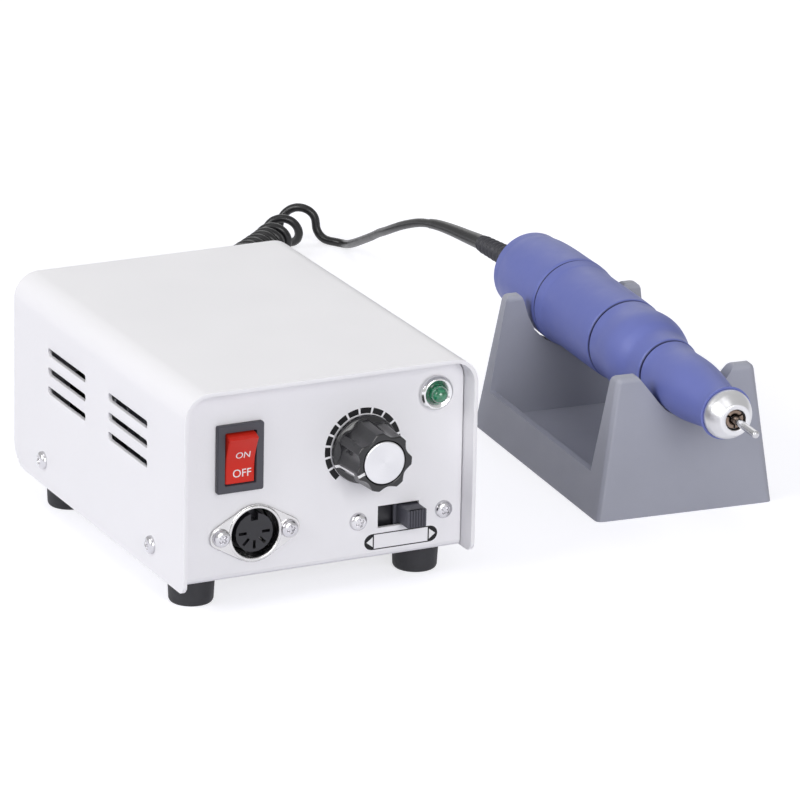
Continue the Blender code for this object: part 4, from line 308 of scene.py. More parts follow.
METAL = {"Metallic": 1.0}
plated = effect(plated_metal, Wipe=900.0, Gloss=0.2)
nickel = finish("nickel_plate", plated, ("DCDBDD", "BFBEC3"), (0.05, 0.00005), plain=METAL, Gloss=0.22)
CROSS_WIDTH, CROSS_WALL = 0.00042, 0.00016
CROSS_REACH, CROSS_RUN_OUT = 0.0014, 0.0003
CROSS_DEPTH = 0.0006
HEAD_SKIRT = 0.0003
HEAD_RADIUS, HEAD_HEIGHT = 0.0028, 0.0015
HEAD_HARD = 50.0


def pan_head(name, place, radius=HEAD_RADIUS, height=HEAD_HEIGHT):
    """A pan head on a polar grid: its dome, less the cross recess where |x| or |y| is small.

    At the share s of its radius the dome stands h (1 - s^5)^0.5 (1 - 0.25 s^2) high.
    """
    share = np.concatenate((np.linspace(0, 0.62, 18), np.linspace(0.68, 1.0, 9)))[:, None]
    angle = np.linspace(0, math.tau, 96, endpoint=False)[None]
    dome = polar(radius * share, angle, height * np.sqrt(1 - share ** 5) * (1 - 0.25 * share ** 2))
    x, y = np.abs(dome[..., 0]), np.abs(dome[..., 1])
    across = np.clip((CROSS_WIDTH - np.minimum(x, y)) / CROSS_WALL + 0.5, 0, 1)
    along = np.clip((CROSS_REACH - np.maximum(x, y)) / CROSS_RUN_OUT, 0, 1)
    dome[..., 2] -= CROSS_DEPTH * across * along
    skirt = [polar(reach, angle, -HEAD_SKIRT) for reach in (radius, 0.0)]
    return ringed(name, np.vstack((dome, *skirt)), place, nickel, HEAD_HARD)


PANEL_SETBACK, REAR_SETBACK = 0.0069, 0.003
PANEL_Y, REAR_Y = BOX_LOW.y + PANEL_SETBACK, BOX_HIGH.y - REAR_SETBACK
COVER_HALF = 0.048


def on_panel(x, height, proud=0.0, turn=0.0):
    """A place on the front panel: x to the right, height above the foot of the box, out to the front."""
    right = (math.cos(turn), 0, math.sin(turn))
    up = (-math.sin(turn), 0, math.cos(turn))
    return (BOX_X + x, PANEL_Y - proud, FOOT_HEIGHT + height), right, up, (0, -1, 0)


def on_rear(x, height, proud=0.0):
    """A place on the rear wall, seen from behind the box."""
    return (BOX_X + x, REAR_Y + proud, FOOT_HEIGHT + height), (-1, 0, 0), (0, 0, 1), (0, 1, 0)


def on_side(side, y, height, proud=0.0, turn=0.0):
    """A place on a side of the cover."""
    along = (0, side * math.cos(turn), math.sin(turn))
    across = (0, -side * math.sin(turn), math.cos(turn))
    origin = (BOX_X + side * (COVER_HALF + proud), BOX_Y + y, FOOT_HEIGHT + height)
    return origin, along, across, (side, 0, 0)


SOCKET_X, SOCKET_Z = -0.0221, 0.0141
EAR_PITCH, EAR_FACE = 0.0111, 0.0012
SEAT = 0.0003        # how far a part stands off the face that it is screwed or clipped to
SWITCH_SCREW_LEFT, SWITCH_SCREW_RIGHT, SWITCH_SCREW_Z = 0.01215, 0.04065, 0.0126
SCREW_PLACES = {"socket_screw_left": on_panel(SOCKET_X - EAR_PITCH, SOCKET_Z, EAR_FACE, 0.7),
                "socket_screw_right": on_panel(SOCKET_X + EAR_PITCH, SOCKET_Z, EAR_FACE, 0.2),
                "switch_screw_left": on_panel(SWITCH_SCREW_LEFT, SWITCH_SCREW_Z, SEAT, 0.35),
                "switch_screw_right": on_panel(SWITCH_SCREW_RIGHT, SWITCH_SCREW_Z, SEAT, 0.9)}
for name, place in SCREW_PLACES.items():
    fit(pan_head(name + "_head", place), "control_unit", "bright_steel", name)
COVER_SCREW_Y, COVER_SCREW_Z = 0.0411, 0.0084
COVER_SCREW_TURNS = (0.3, 0.8, 0.6, 0.1)
for (corner, (side, end)), turn in zip(CORNERS.items(), COVER_SCREW_TURNS):
    place = on_side(side, end * COVER_SCREW_Y, COVER_SCREW_Z, SEAT, turn)
    fit(pan_head("cover_screw_head_" + corner, place), "control_unit", "bright_steel",
        "cover_screw_" + corner)
INLET_X, INLET_Z, INLET_FACE, INLET_HALF_PITCH = -0.0170, 0.0190, 0.0025, 0.0200
INLET_HEAD_RADIUS, INLET_HEAD_HEIGHT = 0.0026, 0.0013
for side, name in ((-1, "left"), (1, "right")):
    place = on_rear(INLET_X + side * INLET_HALF_PITCH, INLET_Z, INLET_FACE)
    fit(pan_head("inlet_screw_" + name, place, INLET_HEAD_RADIUS, INLET_HEAD_HEIGHT), "control_unit",
        "bright_steel")
FOOT_RECESS, FOOT_HEAD_HEIGHT = 0.0042, 0.0014
for corner, (side, end) in CORNERS.items():
    place = ((BOX_X + side * FOOT_X, BOX_Y + end * FOOT_Y, FOOT_RECESS), (1, 0, 0), (0, -1, 0), (0, 0, -1))
    fit(pan_head("foot_screw_" + corner, place, height=FOOT_HEAD_HEIGHT), "control_unit", "bright_steel")


# Rocker switch
# A snap-in switch: a dark polyamide frame and a glossy red rocker, ON above and OFF below in white.
# The rocker is pressed in at its lower end.
MITER_LIMIT = 0.3     # keeps the rim of a sharp corner from running far in


def slab(name, outline, low, high, rim, place, material, hard=35.0, steps=3):
    """A flat piece: its outline from low to high, each rim drawn in by r (1 - cos a) up to r sin a."""
    line = np.asarray(outline, float)
    edge = np.roll(line, -1, 0) - line
    normal = np.column_stack((edge[:, 1], -edge[:, 0])) / np.linalg.norm(edge, axis=1)[:, None]
    last = np.roll(normal, 1, 0)
    miter = (normal + last) / np.maximum(1 + (normal * last).sum(1), MITER_LIMIT)[:, None]
    a = np.linspace(0, math.pi / 2, steps + 1) if rim else np.zeros(1)
    inset, fall = rim * (1 - np.cos(a)), rim * (1 - np.sin(a))
    insets = np.concatenate((inset[::-1], inset))
    heights = np.concatenate((low + fall[::-1], high - fall))
    flat = line[None] - miter[None] * insets[:, None, None]
    grid = np.dstack((flat, np.broadcast_to(heights[:, None], flat.shape[:2])))
    return ringed(name, grid, place, material, hard, ends=True)


def round_box(width, height, radius, steps=6):
    """A rectangle's outline about its middle with its corners turned on a quarter circle, anticlockwise."""
    a = np.linspace(0, math.pi / 2, steps + 1)
    corner = np.column_stack((np.cos(a), np.sin(a))) * radius
    centres = np.array(((1, 1), (-1, 1), (-1, -1), (1, -1))) * (width / 2 - radius, height / 2 - radius)
    turns = [np.array(((c, s), (-s, c))) for c, s in ((1, 0), (0, 1), (-1, 0), (0, -1))]
    return np.vstack([corner @ turn + centre for turn, centre in zip(turns, centres)])


DULL = {"Specular IOR Level": 0.3}
frame_plastic = finish("switch_frame", moulded, ("4A4A52", "3C3C43"), (0.25, 0.0001), Grain=2400.0,
                       Gloss=0.5, Marks=0.15)
red_plastic = finish("rocker_red", moulded, ("DA2E1E", "C62416"), (0.08, 0.0001), plain=DULL, Grain=3000.0,
                     Gloss=0.34, Marks=0.15)
white_ink = finish("white_ink", moulded, ("F4F4F4", "E6E6E8"), (0.1, 0.00005), Grain=4000.0, Gloss=0.5,
                   Marks=0.1)
ROCKER_X, ROCKER_Z = -0.0275, 0.0387
BEZEL_WIDTH, BEZEL_HEIGHT = 0.0150, 0.0212
BEZEL_WALL_X, BEZEL_WALL_Z = 0.00245, 0.0024
BEZEL_RADIUS, WELL_RADIUS = 0.0006, 0.0004
BODY_WIDTH, BODY_HEIGHT = 0.0128, 0.0190
BEZEL_FACE, BODY_BACK, WELL_FLOOR = 0.0020, -0.0150, -0.0138
WELL_LIP = ((1.0, 1.0, 0.0004), (1.02, 1.015, 0.0001))   # shares of the outline, and the depth below the face
FACE_RIM = ((0.975, 0.985, 0.0), (0.993, 0.995, 0.00015), (1.0, 1.0, 0.0005))


def rocker_frame():
    """The frame on rows of one outline: up the well from its floor, over the face, and down the body."""
    outer = round_box(BEZEL_WIDTH, BEZEL_HEIGHT, BEZEL_RADIUS)
    inner = round_box(BEZEL_WIDTH - 2 * BEZEL_WALL_X, BEZEL_HEIGHT - 2 * BEZEL_WALL_Z, WELL_RADIUS)
    body = round_box(BODY_WIDTH, BODY_HEIGHT, BEZEL_RADIUS)
    lip = [(inner * (wide, tall), BEZEL_FACE - fall) for wide, tall, fall in WELL_LIP]
    rim = [(outer * (wide, tall), BEZEL_FACE - fall) for wide, tall, fall in FACE_RIM]
    rows = ((inner * 0, WELL_FLOOR), (inner, WELL_FLOOR), *lip, *rim, (outer, SEAT), (body, SEAT),
            (body, BODY_BACK), (body * 0, BODY_BACK))
    grid = np.stack([np.column_stack((line, np.full(len(line), height))) for line, height in rows])
    return ringed("rocker_bezel", grid, on_panel(ROCKER_X, ROCKER_Z), frame_plastic)


fit(rocker_frame(), "control_unit", "dark_plastic", "rocker_frame")
ROCKER_TILT = math.radians(12)
ROCKER_REACH, ROCKER_CORNER = 0.0079, math.radians(20)
ROCKER_HALF_WIDTH, ROCKER_RIM = 0.00475, 0.00045
ROCKER_TOP, ROCKER_HALF = ROCKER_REACH * math.sin(ROCKER_CORNER), ROCKER_REACH * math.cos(ROCKER_CORNER)
DISH_DEPTH, DISH_POWER = 0.0012, 1.6


def dish(up):
    """The rocker's face at a height u on it: its top, less the dish's depth d, plus d (|u| / half)^1.6."""
    return ROCKER_TOP - DISH_DEPTH + DISH_DEPTH * (np.abs(up) / ROCKER_HALF) ** DISH_POWER


sweep = np.linspace(ROCKER_CORNER, -ROCKER_CORNER, 8)
rocker_end = np.column_stack((np.cos(sweep), np.sin(sweep))) * ROCKER_REACH
across_face = np.linspace(0.9, -0.9, 9) * ROCKER_HALF
face_line = np.column_stack((across_face, dish(across_face)))
rocker_outline = np.vstack((face_line, rocker_end * (-1, 1), rocker_end[::-1]))
tilt_up = np.array((0, -math.sin(ROCKER_TILT), math.cos(ROCKER_TILT)))
tilt_out = np.array((0, -math.cos(ROCKER_TILT), -math.sin(ROCKER_TILT)))
pivot = np.array(on_panel(ROCKER_X, ROCKER_Z, SEAT)[0])
fit(slab("rocker_button_red", rocker_outline, -ROCKER_HALF_WIDTH, ROCKER_HALF_WIDTH, ROCKER_RIM,
         (pivot, tilt_up, tilt_out, (1, 0, 0)), red_plastic, hard=30.0),
    "power_rocker", "red_plastic", "rocker_button")
WORD_SHIFT, WORD_PROUD, WORD_THICK = 0.0006, 0.00004, 0.00002
WORDS = (("ON", 0.0013, 0.0031), ("OFF", -0.0046, 0.0035))


def letters(name, text, size, place, material):
    """A word as a thin mesh, its middle on the place's origin."""
    curve = bpy.data.curves.new(name, "FONT")
    curve.body, curve.size, curve.extrude = text, size, WORD_THICK
    curve.align_x, curve.align_y = "CENTER", "CENTER"
    shape = in_scene(name, curve)
    bpy.context.view_layer.update()
    flat = bpy.data.meshes.new_from_object(shape.evaluated_get(bpy.context.evaluated_depsgraph_get()))
    points = np.zeros(len(flat.vertices) * 3)
    flat.vertices.foreach_get("co", points)
    faces = [list(polygon.vertices) for polygon in flat.polygons]
    bpy.data.objects.remove(shape)
    return piece(name, placed(points.reshape(-1, 3), *place), faces, material)


for text, up, size in WORDS:
    slope = DISH_POWER * DISH_DEPTH / ROCKER_HALF * (abs(up) / ROCKER_HALF) ** (DISH_POWER - 1)
    lean = math.copysign(math.atan(slope), up)
    word_up = tilt_up * math.cos(lean) + tilt_out * math.sin(lean)
    word_out = tilt_out * math.cos(lean) - tilt_up * math.sin(lean)
    spot = pivot + (WORD_SHIFT, 0, 0) + tilt_up * up + tilt_out * (dish(up) + WORD_PROUD)
    fit(letters("rocker_word_" + text.lower(), text, size, (spot, (1, 0, 0), word_up, word_out), white_ink),
        "power_rocker", "white_paint")


# Round socket
# A pressed, nickel-plated flange with a rolled rim, screwed over the black five-contact insert.
# The handpiece's plug goes into it; it is empty here.
RIM_RADIUS, EAR_RADIUS = 0.0091, 0.0036


def flange_reach(angle):
    """How far the flange's outline lies outside its rim: rim's circle, ear's circle or their tangent."""
    a = np.abs((angle + math.pi / 2) % math.pi - math.pi / 2)
    tangent = math.acos((RIM_RADIUS - EAR_RADIUS) / EAR_PITCH)
    line = RIM_RADIUS / np.cos(a - tangent)
    inside = np.clip(EAR_RADIUS ** 2 - (EAR_PITCH * np.sin(a)) ** 2, 0, None)
    ear = EAR_PITCH * np.cos(a) + np.sqrt(inside)
    touch = math.atan2(EAR_RADIUS * math.sin(tangent), EAR_PITCH + EAR_RADIUS * math.cos(tangent))
    return np.where(a > tangent, RIM_RADIUS, np.where(a < touch, ear, line)) - RIM_RADIUS


bright_plate = finish("socket_plate", plated, ("DEDDDC", "C9C8C8"), (0.06, 0.0001), plain=METAL, Gloss=0.24,
                      Wipe=700.0)
FLANGE = ((0.0077, -0.0110), (0.0077, 0.0009), (0.0080, 0.0013), (0.0086, 0.00125), (0.0088, 0.0009),
          (RIM_RADIUS, 0.0009, 0.9), (0.0089, 0.0009, 1.0), (RIM_RADIUS, 0.0007, 1.0),
          (RIM_RADIUS, SEAT, 1.0), (0.0083, SEAT, 0.0), (0.0083, -0.0110))
FLANGE_EASE = 0.00025
socket_place = on_panel(SOCKET_X, SOCKET_Z)
fit(turned("socket_flange_plate", FLANGE, socket_place, bright_plate, FLANGE_EASE, sides=240,
           reach=flange_reach), "control_unit", "bright_steel", "socket_flange")
insert_plastic = finish("socket_black", moulded, ("232329", "18181C"), (0.12, 0.0001), Grain=2600.0,
                        Gloss=0.3, Marks=0.15)
dress(insert_plastic, "socket_insert")
contact_metal = finish("contact_silver", plated, ("B9B7B2", "8E8C88"), (0.05, 0.00005), plain=METAL,
                       Gloss=0.3)
CONTACT_CIRCLE = 0.0038
CONTACT_ANGLES = np.radians((0, -45, -90, -135, -180))
CONTACT_LENGTH, CONTACT_THICK, CONTACT_RADIUS = 0.0020, 0.0002, 0.00008
CONTACT_LOW, CONTACT_HIGH = -0.0036, -0.0018


def contact_spots(place):
    """Where the five contacts stand on their circle."""
    circle = polar(CONTACT_CIRCLE, CONTACT_ANGLES, 0.0)
    return placed(circle, *place)


for count, (a, spot) in enumerate(zip(CONTACT_ANGLES, contact_spots(socket_place)), 1):
    place = (spot, (math.cos(a), 0, math.sin(a)), (-math.sin(a), 0, math.cos(a)), (0, -1, 0))
    blade = round_box(CONTACT_LENGTH, CONTACT_THICK, CONTACT_RADIUS, 2)
    fit(slab(f"socket_contact_{count}", blade, CONTACT_LOW, CONTACT_HIGH, 0.0, place, contact_metal),
        "control_unit", "bright_steel")


# Speed control
# A fluted knob of glossy black phenolic on the potentiometer's brass shaft. A disc of spun
# aluminium is let into its face, and one white line runs down its side to the skirt.
KNOB_X, KNOB_Z = 0.0134, 0.0358
KNOB_LIFT = 0.0006
KNOB_FACE = KNOB_LIFT + 0.0142
DISC_RADIUS, DISC_RIM, DISC_SUNK, DISC_PROUD = 0.0066, 0.0003, 0.0010, 0.0002
KNOB_BORE, KNOB_ROOF = 0.0064, 0.0047
KNOB_EASE, DISC_EASE = 0.0005, 0.0001
LOBES, FLUTE, LOBE_SHARE, FLUTE_POWER = 7, 0.0013, 0.22, 0.75
LINE_ANGLE = math.radians(202)


def flute(angle):
    """Seven round hollows in the knob's side: nothing on a lobe, as below the line, deepest between two."""
    wave = 0.5 - 0.5 * np.cos(LOBES * (angle - LINE_ANGLE))
    return -(np.clip(wave - LOBE_SHARE, 0, 1) / (1 - LOBE_SHARE)) ** FLUTE_POWER * FLUTE


KNOB = ((0, KNOB_FACE - DISC_SUNK), (DISC_RADIUS + DISC_RIM, KNOB_FACE - DISC_SUNK),
        (DISC_RADIUS + DISC_RIM, KNOB_FACE), (0.0089, KNOB_FACE, 1.0), (0.0092, KNOB_FACE - 0.0003, 1.0),
        (0.0095, 0.0080, 1.0), (0.0098, 0.0030, 0.8), (0.0100, 0.0024, 0.1), (0.0104, 0.0023),
        (0.0107, 0.0018), (0.0107, KNOB_LIFT), (KNOB_BORE, KNOB_LIFT), (KNOB_BORE, KNOB_ROOF), (0, KNOB_ROOF))
knob_black = finish("knob_phenolic", moulded, ("141418", "0E0E12"), (0.04, 0.0001),
                    plain={"Coat Weight": 0.3, "Coat Roughness": 0.06}, Grain=900.0, Gloss=0.26, Marks=0.14)
knob_place = on_panel(KNOB_X, KNOB_Z)
fit(turned("knob_body", KNOB, knob_place, knob_black, KNOB_EASE, sides=288, reach=flute),
    "speed_control", "dark_plastic", "speed_knob")


def spun_metal(tree, given):
    """Metal faced on a lathe: fine rings about the z axis, in the height, the gloss and the colour, and a
    painted highlight: two lighter and two darker sectors round the axis, as the spun face's reflection.
    """
    parts = node(tree, "SeparateXYZ", {"Vector": given["Vector"]}).outputs
    flat = node(tree, "CombineXYZ", {"X": parts["X"], "Y": parts["Y"]}).outputs[0]
    radius = node(tree, "VectorMath", {0: flat}, operation="LENGTH").outputs["Value"]
    station = math_node(tree, "ADD", radius, parts["Z"])
    station = math_node(tree, "MULTIPLY", station, given["Rings"])
    rings = noise(tree, node(tree, "CombineXYZ", {"X": station}).outputs[0], 1.0)
    # Painted highlight: the colour changes with sin 2a round the axis, as the cross of bright and dark
    # sectors that a spun face reflects.
    around = math_node(tree, "ARCTAN2", parts["Y"], parts["X"])
    highlight_fan = math_node(tree, "MULTIPLY", math_node(tree, "SINE", math_node(tree, "MULTIPLY", around, 2.0)), 0.12)
    shade = math_node(tree, "MULTIPLY", math_node(tree, "ADD", rings, highlight_fan), 0.5)
    return laid_skin(tree, given, shade, spread(tree, rings, -0.05, 0.12), rings)


def ring_centre(x, height):
    """A mapping that centres a lathe's rings on a place in the panel."""
    return {"Location": (-(BOX_X + x), FOOT_HEIGHT + height, 0.0), "Rotation": (math.radians(90), 0, 0)}


spun = effect(spun_metal, Rings=9000.0, Gloss=0.25)
disc_metal = finish("knob_disc", spun, ("E6E6E8", "AEAEB2"), (0.25, 0.00003), ring_centre(KNOB_X, KNOB_Z),
                    METAL, Gloss=0.3)
DISC = ((0, KNOB_FACE - 0.0007), (DISC_RADIUS, KNOB_FACE - 0.0007), (DISC_RADIUS, KNOB_FACE),
        (DISC_RADIUS - 0.0003, KNOB_FACE + DISC_PROUD), (0.0020, KNOB_FACE + DISC_PROUD),
        (0, KNOB_FACE + DISC_PROUD))
fit(turned("knob_disc", DISC, knob_place, disc_metal, DISC_EASE, sides=96), "speed_control", "spun_metal",
    "knob_cap")
LINE_ROUTE = np.array(((DISC_RADIUS + 0.0004, KNOB_FACE, 0.0), (0.0086, KNOB_FACE, 1.0),
                       (0.0090, KNOB_FACE - 0.00005, 1.0), (0.00915, KNOB_FACE - 0.0003, 1.0),
                       (0.0095, 0.0080, 1.0), (0.00978, 0.0033, 0.8), (0.0100, 0.00255, 0.1),
                       (0.0103, 0.0023, 0.0), (0.01068, 0.0020, 0.0), (0.01073, 0.0012, 0.0)))
LINE_HALF, LINE_PROUD = 0.00045, 0.00003
LINE_SUNK_IN, LINE_SUNK_DOWN = 0.00012, 0.0001


def knob_line():
    """The white line: a ribbon that follows the knob's side at one angle, a hair proud of it."""
    spans = [np.linspace(a, b, 5)[:-1] for a, b in zip(LINE_ROUTE, LINE_ROUTE[1:])]
    line = np.vstack((*spans, LINE_ROUTE[-1:]))
    radius = line[:, :1] + LINE_PROUD
    angle = LINE_ANGLE + np.linspace(-LINE_HALF, LINE_HALF, 5)[None] / radius
    radius = radius + flute(angle) * line[:, 2:]
    height = line[:, 1:2] + LINE_PROUD
    under = polar(radius - LINE_SUNK_IN, angle, height - LINE_SUNK_DOWN)
    grid = np.concatenate((polar(radius, angle, height), under[:, ::-1]), axis=1)
    return ringed("knob_line", grid, knob_place, white_ink, hard=60.0, ends=True)


fit(knob_line(), "speed_control", "white_paint")
dress(finish("turned_brass", spun, ("C9A25A", "9C7A3C"), (0.2, 0.00003), ring_centre(KNOB_X, KNOB_Z), METAL,
             Gloss=0.3), "potentiometer_shaft")
zinc = finish("zinc_plate", plated, ("A9A9AB", "868689"), (0.1, 0.0001), plain=METAL, Gloss=0.38)
dress(zinc, "potentiometer")


# Printed scale and arrows
# Screen-printed black enamel on the panel: fourteen blocks round the knob, and the frame with an
# arrow at each end below the direction switch.
INK_BACK, INK_FACE, ARROW_FACE = 0.00001, 0.00004, 0.00006


def prints(name, outlines, low, high, material, place):
    """Flat outlines as one thin mesh: each has a face, a back and a wall between them."""
    points, faces, start = [], [], 0
    for line in map(np.asarray, outlines):
        count = len(line)
        points += [np.column_stack((line, np.full(count, height))) for height in (low, high)]
        index = np.arange(count)
        ahead = np.roll(index, -1)
        wall = np.column_stack((index, ahead, ahead + count, index + count)) + start
        faces += wall.tolist() + [(index[::-1] + start).tolist(), (index + count + start).tolist()]
        start += 2 * count
    return piece(name, placed(np.vstack(points), *place), faces, material, hard=30.0)


def sector(start, end, inner, outer, steps=6):
    """A block of a ring between two angles and two radii."""
    a = np.linspace(start, end, steps)
    arc = np.column_stack((np.cos(a), np.sin(a)))
    return np.vstack((arc * outer, arc[::-1] * inner))


def mirrored(outline):
    """An outline turned over its upright axis, still running the same way round."""
    return (outline * (-1, 1))[::-1]


black_ink = finish("panel_ink", moulded, ("121216", "0C0C0E"), (0.1, 0.00005), plain=DULL, Grain=3000.0,
                   Gloss=0.6, Marks=0.1)
SCALE_MARKS = np.radians((227.0, 206.7, 188.2, 170.6, 153.5, 135.7, 116.4, 96.7, 76.2, 56.1, 35.3, 14.6,
                          -6.0, -26.6, -47.0))
SCALE_GAP = math.radians(1.7)
SCALE_INNER, SCALE_OUTER = 0.0126, 0.0108
blocks = [sector(start - SCALE_GAP, end + SCALE_GAP, SCALE_INNER, SCALE_OUTER)
          for start, end in zip(SCALE_MARKS, SCALE_MARKS[1:])]
fit(prints("dial_scale", blocks, INK_BACK, INK_FACE, black_ink, knob_place), "control_unit", "dark_plastic")
LABEL_X, LABEL_Z = 0.0266, 0.0053
LABEL_HALF, LABEL_TALL, LABEL_LINE, LABEL_END, LABEL_POWER = 0.0122, 0.00255, 0.00033, 0.0032, 0.8
ARROW = np.array(((0.0004, -0.0016), (0.0025, 0.0), (0.0004, 0.0016)))
shoulder = LABEL_HALF - LABEL_END
bulge = np.linspace(-math.pi / 2, math.pi / 2, 15)[1:-1]
end_arc = np.column_stack((np.cos(bulge) ** LABEL_POWER * LABEL_END, np.sin(bulge) * LABEL_TALL))
end_right = np.vstack(((0, -LABEL_TALL), end_arc, (0, LABEL_TALL))) + (shoulder, 0)
bars = [np.array(((-1, -1), (1, -1), (1, 1), (-1, 1))) * (shoulder, LABEL_LINE / 2)
        + (0, side * (LABEL_TALL - LABEL_LINE / 2)) for side in (-1, 1)]
arrow = ARROW + (shoulder, 0)
label_place = on_panel(LABEL_X, LABEL_Z)
fit(prints("arrow_frame", [end_right, mirrored(end_right), *bars], INK_BACK, INK_FACE, black_ink,
           label_place), "control_unit", "dark_plastic")
fit(prints("arrow_heads", [arrow, mirrored(arrow)], INK_FACE, ARROW_FACE, white_ink, label_place),
    "control_unit", "white_paint")


# Pilot lamp
# A chrome-plated bezel with a dished face round a domed lens of clear green plastic.
# It is unlit; small facets inside the lens catch the light, and their glints are painted into its colour as
# lighter cells.
LAMP_X, LAMP_Z = 0.0372, 0.0502
BEZEL = ((0.0033, -0.0080), (0.0040, -0.0080), (0.0040, SEAT), (0.0055, SEAT), (0.0055, 0.0008),
         (0.0053, 0.0014), (0.0048, 0.0020), (0.0044, 0.0022), (0.0037, 0.0018), (0.0030, 0.0014),
         (0.0028, 0.00115), (0.0033, 0.00115))
LENS_RADIUS, LENS_EASE = 0.0026, 0.0001


def lens_facet_glints(tree, given):
    """Cast lens plastic: cells of a Voronoi pattern, painted lighter in their middles as glints of facets
    seen through it; the cells are its relief too.
    """
    feeds = {"Vector": given["Vector"], "Scale": given["Cells"]}
    cells = node(tree, "TexVoronoi", feeds).outputs["Distance"]
    wander = math_node(tree, "MULTIPLY", cells, 0.05)
    return laid_skin(tree, given, spread(tree, cells, 0.1, 1.0), wander, cells)


chrome = finish("lamp_chrome", spun, ("E6E6E6", "CFCFD2"), (0.05, 0.00003), ring_centre(LAMP_X, LAMP_Z),
                METAL, Gloss=0.14, Rings=5000.0)
lens_green = finish("lens_green", effect(lens_facet_glints, Cells=900.0, Gloss=0.1), ("35A878", "0E5A3B"),
                    (0.2, 0.0002),
                    plain={"Coat Weight": 1.0, "Coat Roughness": 0.03, "Transmission Weight": 0.15})
lamp_place = on_panel(LAMP_X, LAMP_Z)
fit(turned("lamp_bezel_ring", BEZEL, lamp_place, chrome), "control_unit", "bright_steel", "lamp_bezel")
dome = [(LENS_RADIUS * math.cos(a), LENS_RADIUS + LENS_RADIUS * math.sin(a))
        for a in np.linspace(0, math.pi / 2, 12)[:-1]]
LENS = ((0, -0.0060), (0.0030, -0.0060), (0.0030, 0.0010), (LENS_RADIUS, 0.0010), *dome, (0, 2 * LENS_RADIUS))
fit(turned("lamp_lens_dome", LENS, lamp_place, lens_green, LENS_EASE), "control_unit", "green_lens",
    "lamp_lens")


# Direction switch
# A slide switch behind the panel: its ribbed lever of dark grey plastic stands out of the window.
# The lever is at the right end of its travel.
SWITCH_X, SWITCH_Z = 0.0256, 0.0130
WINDOW_WIDTH, LEVER_GAP = 0.0137, 0.0003
LEVER_HALF, LEVER_TALL, LEVER_TOP, LEVER_ROOT, LEVER_RIM = 0.00315, 0.0057, 0.0062, -0.0022, 0.0003
RIBS, RIB_DEPTH = 7, 0.0004
PLATE_WIDTH, PLATE_HEIGHT, PLATE_RADIUS, PLATE_RIM = 0.0083, 0.0077, 0.0003, 0.0001
PLATE_LOW, PLATE_HIGH = -0.0030, -0.0018
lever_plastic = finish("lever_grey", moulded, ("4B4B54", "3A3A42"), (0.2, 0.0001), Grain=2400.0, Gloss=0.45,
                       Marks=0.15)
rib_line = np.linspace(LEVER_HALF, -LEVER_HALF, RIBS * 10 + 1)
wave = 0.5 - 0.5 * np.cos(math.tau * RIBS * (rib_line + LEVER_HALF) / (2 * LEVER_HALF))
ribs = np.column_stack((rib_line, LEVER_TOP - RIB_DEPTH * (1 - wave ** 0.5)))
stem = np.vstack((ribs, (-LEVER_HALF, LEVER_ROOT), (LEVER_HALF, LEVER_ROOT)))
lever_place = on_panel(SWITCH_X + WINDOW_WIDTH / 2 - LEVER_GAP - LEVER_HALF, SWITCH_Z)
stem_place = (lever_place[0], (1, 0, 0), (0, -1, 0), (0, 0, 1))
fit(slab("lever_stem", stem, -LEVER_TALL / 2, LEVER_TALL / 2, LEVER_RIM, stem_place, lever_plastic,
         hard=40.0), "direction_slider", "dark_plastic", "direction_lever")
plate = round_box(PLATE_WIDTH, PLATE_HEIGHT, PLATE_RADIUS, 2)
fit(slab("lever_plate", plate, PLATE_LOW, PLATE_HIGH, PLATE_RIM, lever_place, lever_plastic),
    "direction_slider", "dark_plastic")
dress(insert_plastic, "direction_switch_body")


# Mains inlet, fuse holder and pedal jack
# Black moulded parts in the rear wall: the inlet is screwed, the fuse cap has a coin slot, and the
# jack is held by a plated hexagon nut on its threaded bushing.
black_plastic = finish("rear_black", moulded, ("2B2B30", "1E1E22"), (0.3, 0.0001), Grain=1800.0, Gloss=0.42,
                       Marks=0.2)
dress(black_plastic, "mains_inlet", "fuse_holder", "fuse_cap", "pedal_jack")
JACK_X, JACK_Z = 0.0300, 0.0420
NUT_FLAT = 0.0066
NUT = ((0.0049, SEAT), (NUT_FLAT, SEAT, 1.0), (NUT_FLAT, 0.0022, 1.0), (0.0062, 0.0025, 0.3),
       (0.0052, 0.0025))


def hexagon(angle):
    """A hexagon's reach past the circle inside it: r / cos of the angle from the nearest flat, less r."""
    nearest = (angle + math.pi / 6) % (math.pi / 3) - math.pi / 6
    return NUT_FLAT / np.cos(nearest) - NUT_FLAT


fit(turned("jack_nut", NUT, on_rear(JACK_X, JACK_Z), nickel, 0.0, sides=144, reach=hexagon),
    "control_unit", "bright_steel")


# Transformer, circuit board and their parts
# Inside the box: a laminated core with its taped winding under a steel strap, and a green board
# with capacitors, a finned heatsink and a terminal block.
def layered(tree, given):
    """Stacked layers: fine lines across the z axis, as core laminations, turns of wire or board tracks."""
    parts = node(tree, "SeparateXYZ", {"Vector": given["Vector"]}).outputs
    lines = math_node(tree, "SINE", math_node(tree, "MULTIPLY", parts["Z"], given["Layers"]))
    lines = math_node(tree, "ADD", math_node(tree, "MULTIPLY", lines, 0.5), 0.5)
    rust = noise(tree, given["Vector"], 120.0, detail=4.0, rough=0.6)
    share = math_node(tree, "MULTIPLY", lines, math_node(tree, "ADD", 0.5, rust))
    return laid_skin(tree, given, share, spread(tree, rust, -0.1, 0.1), lines)


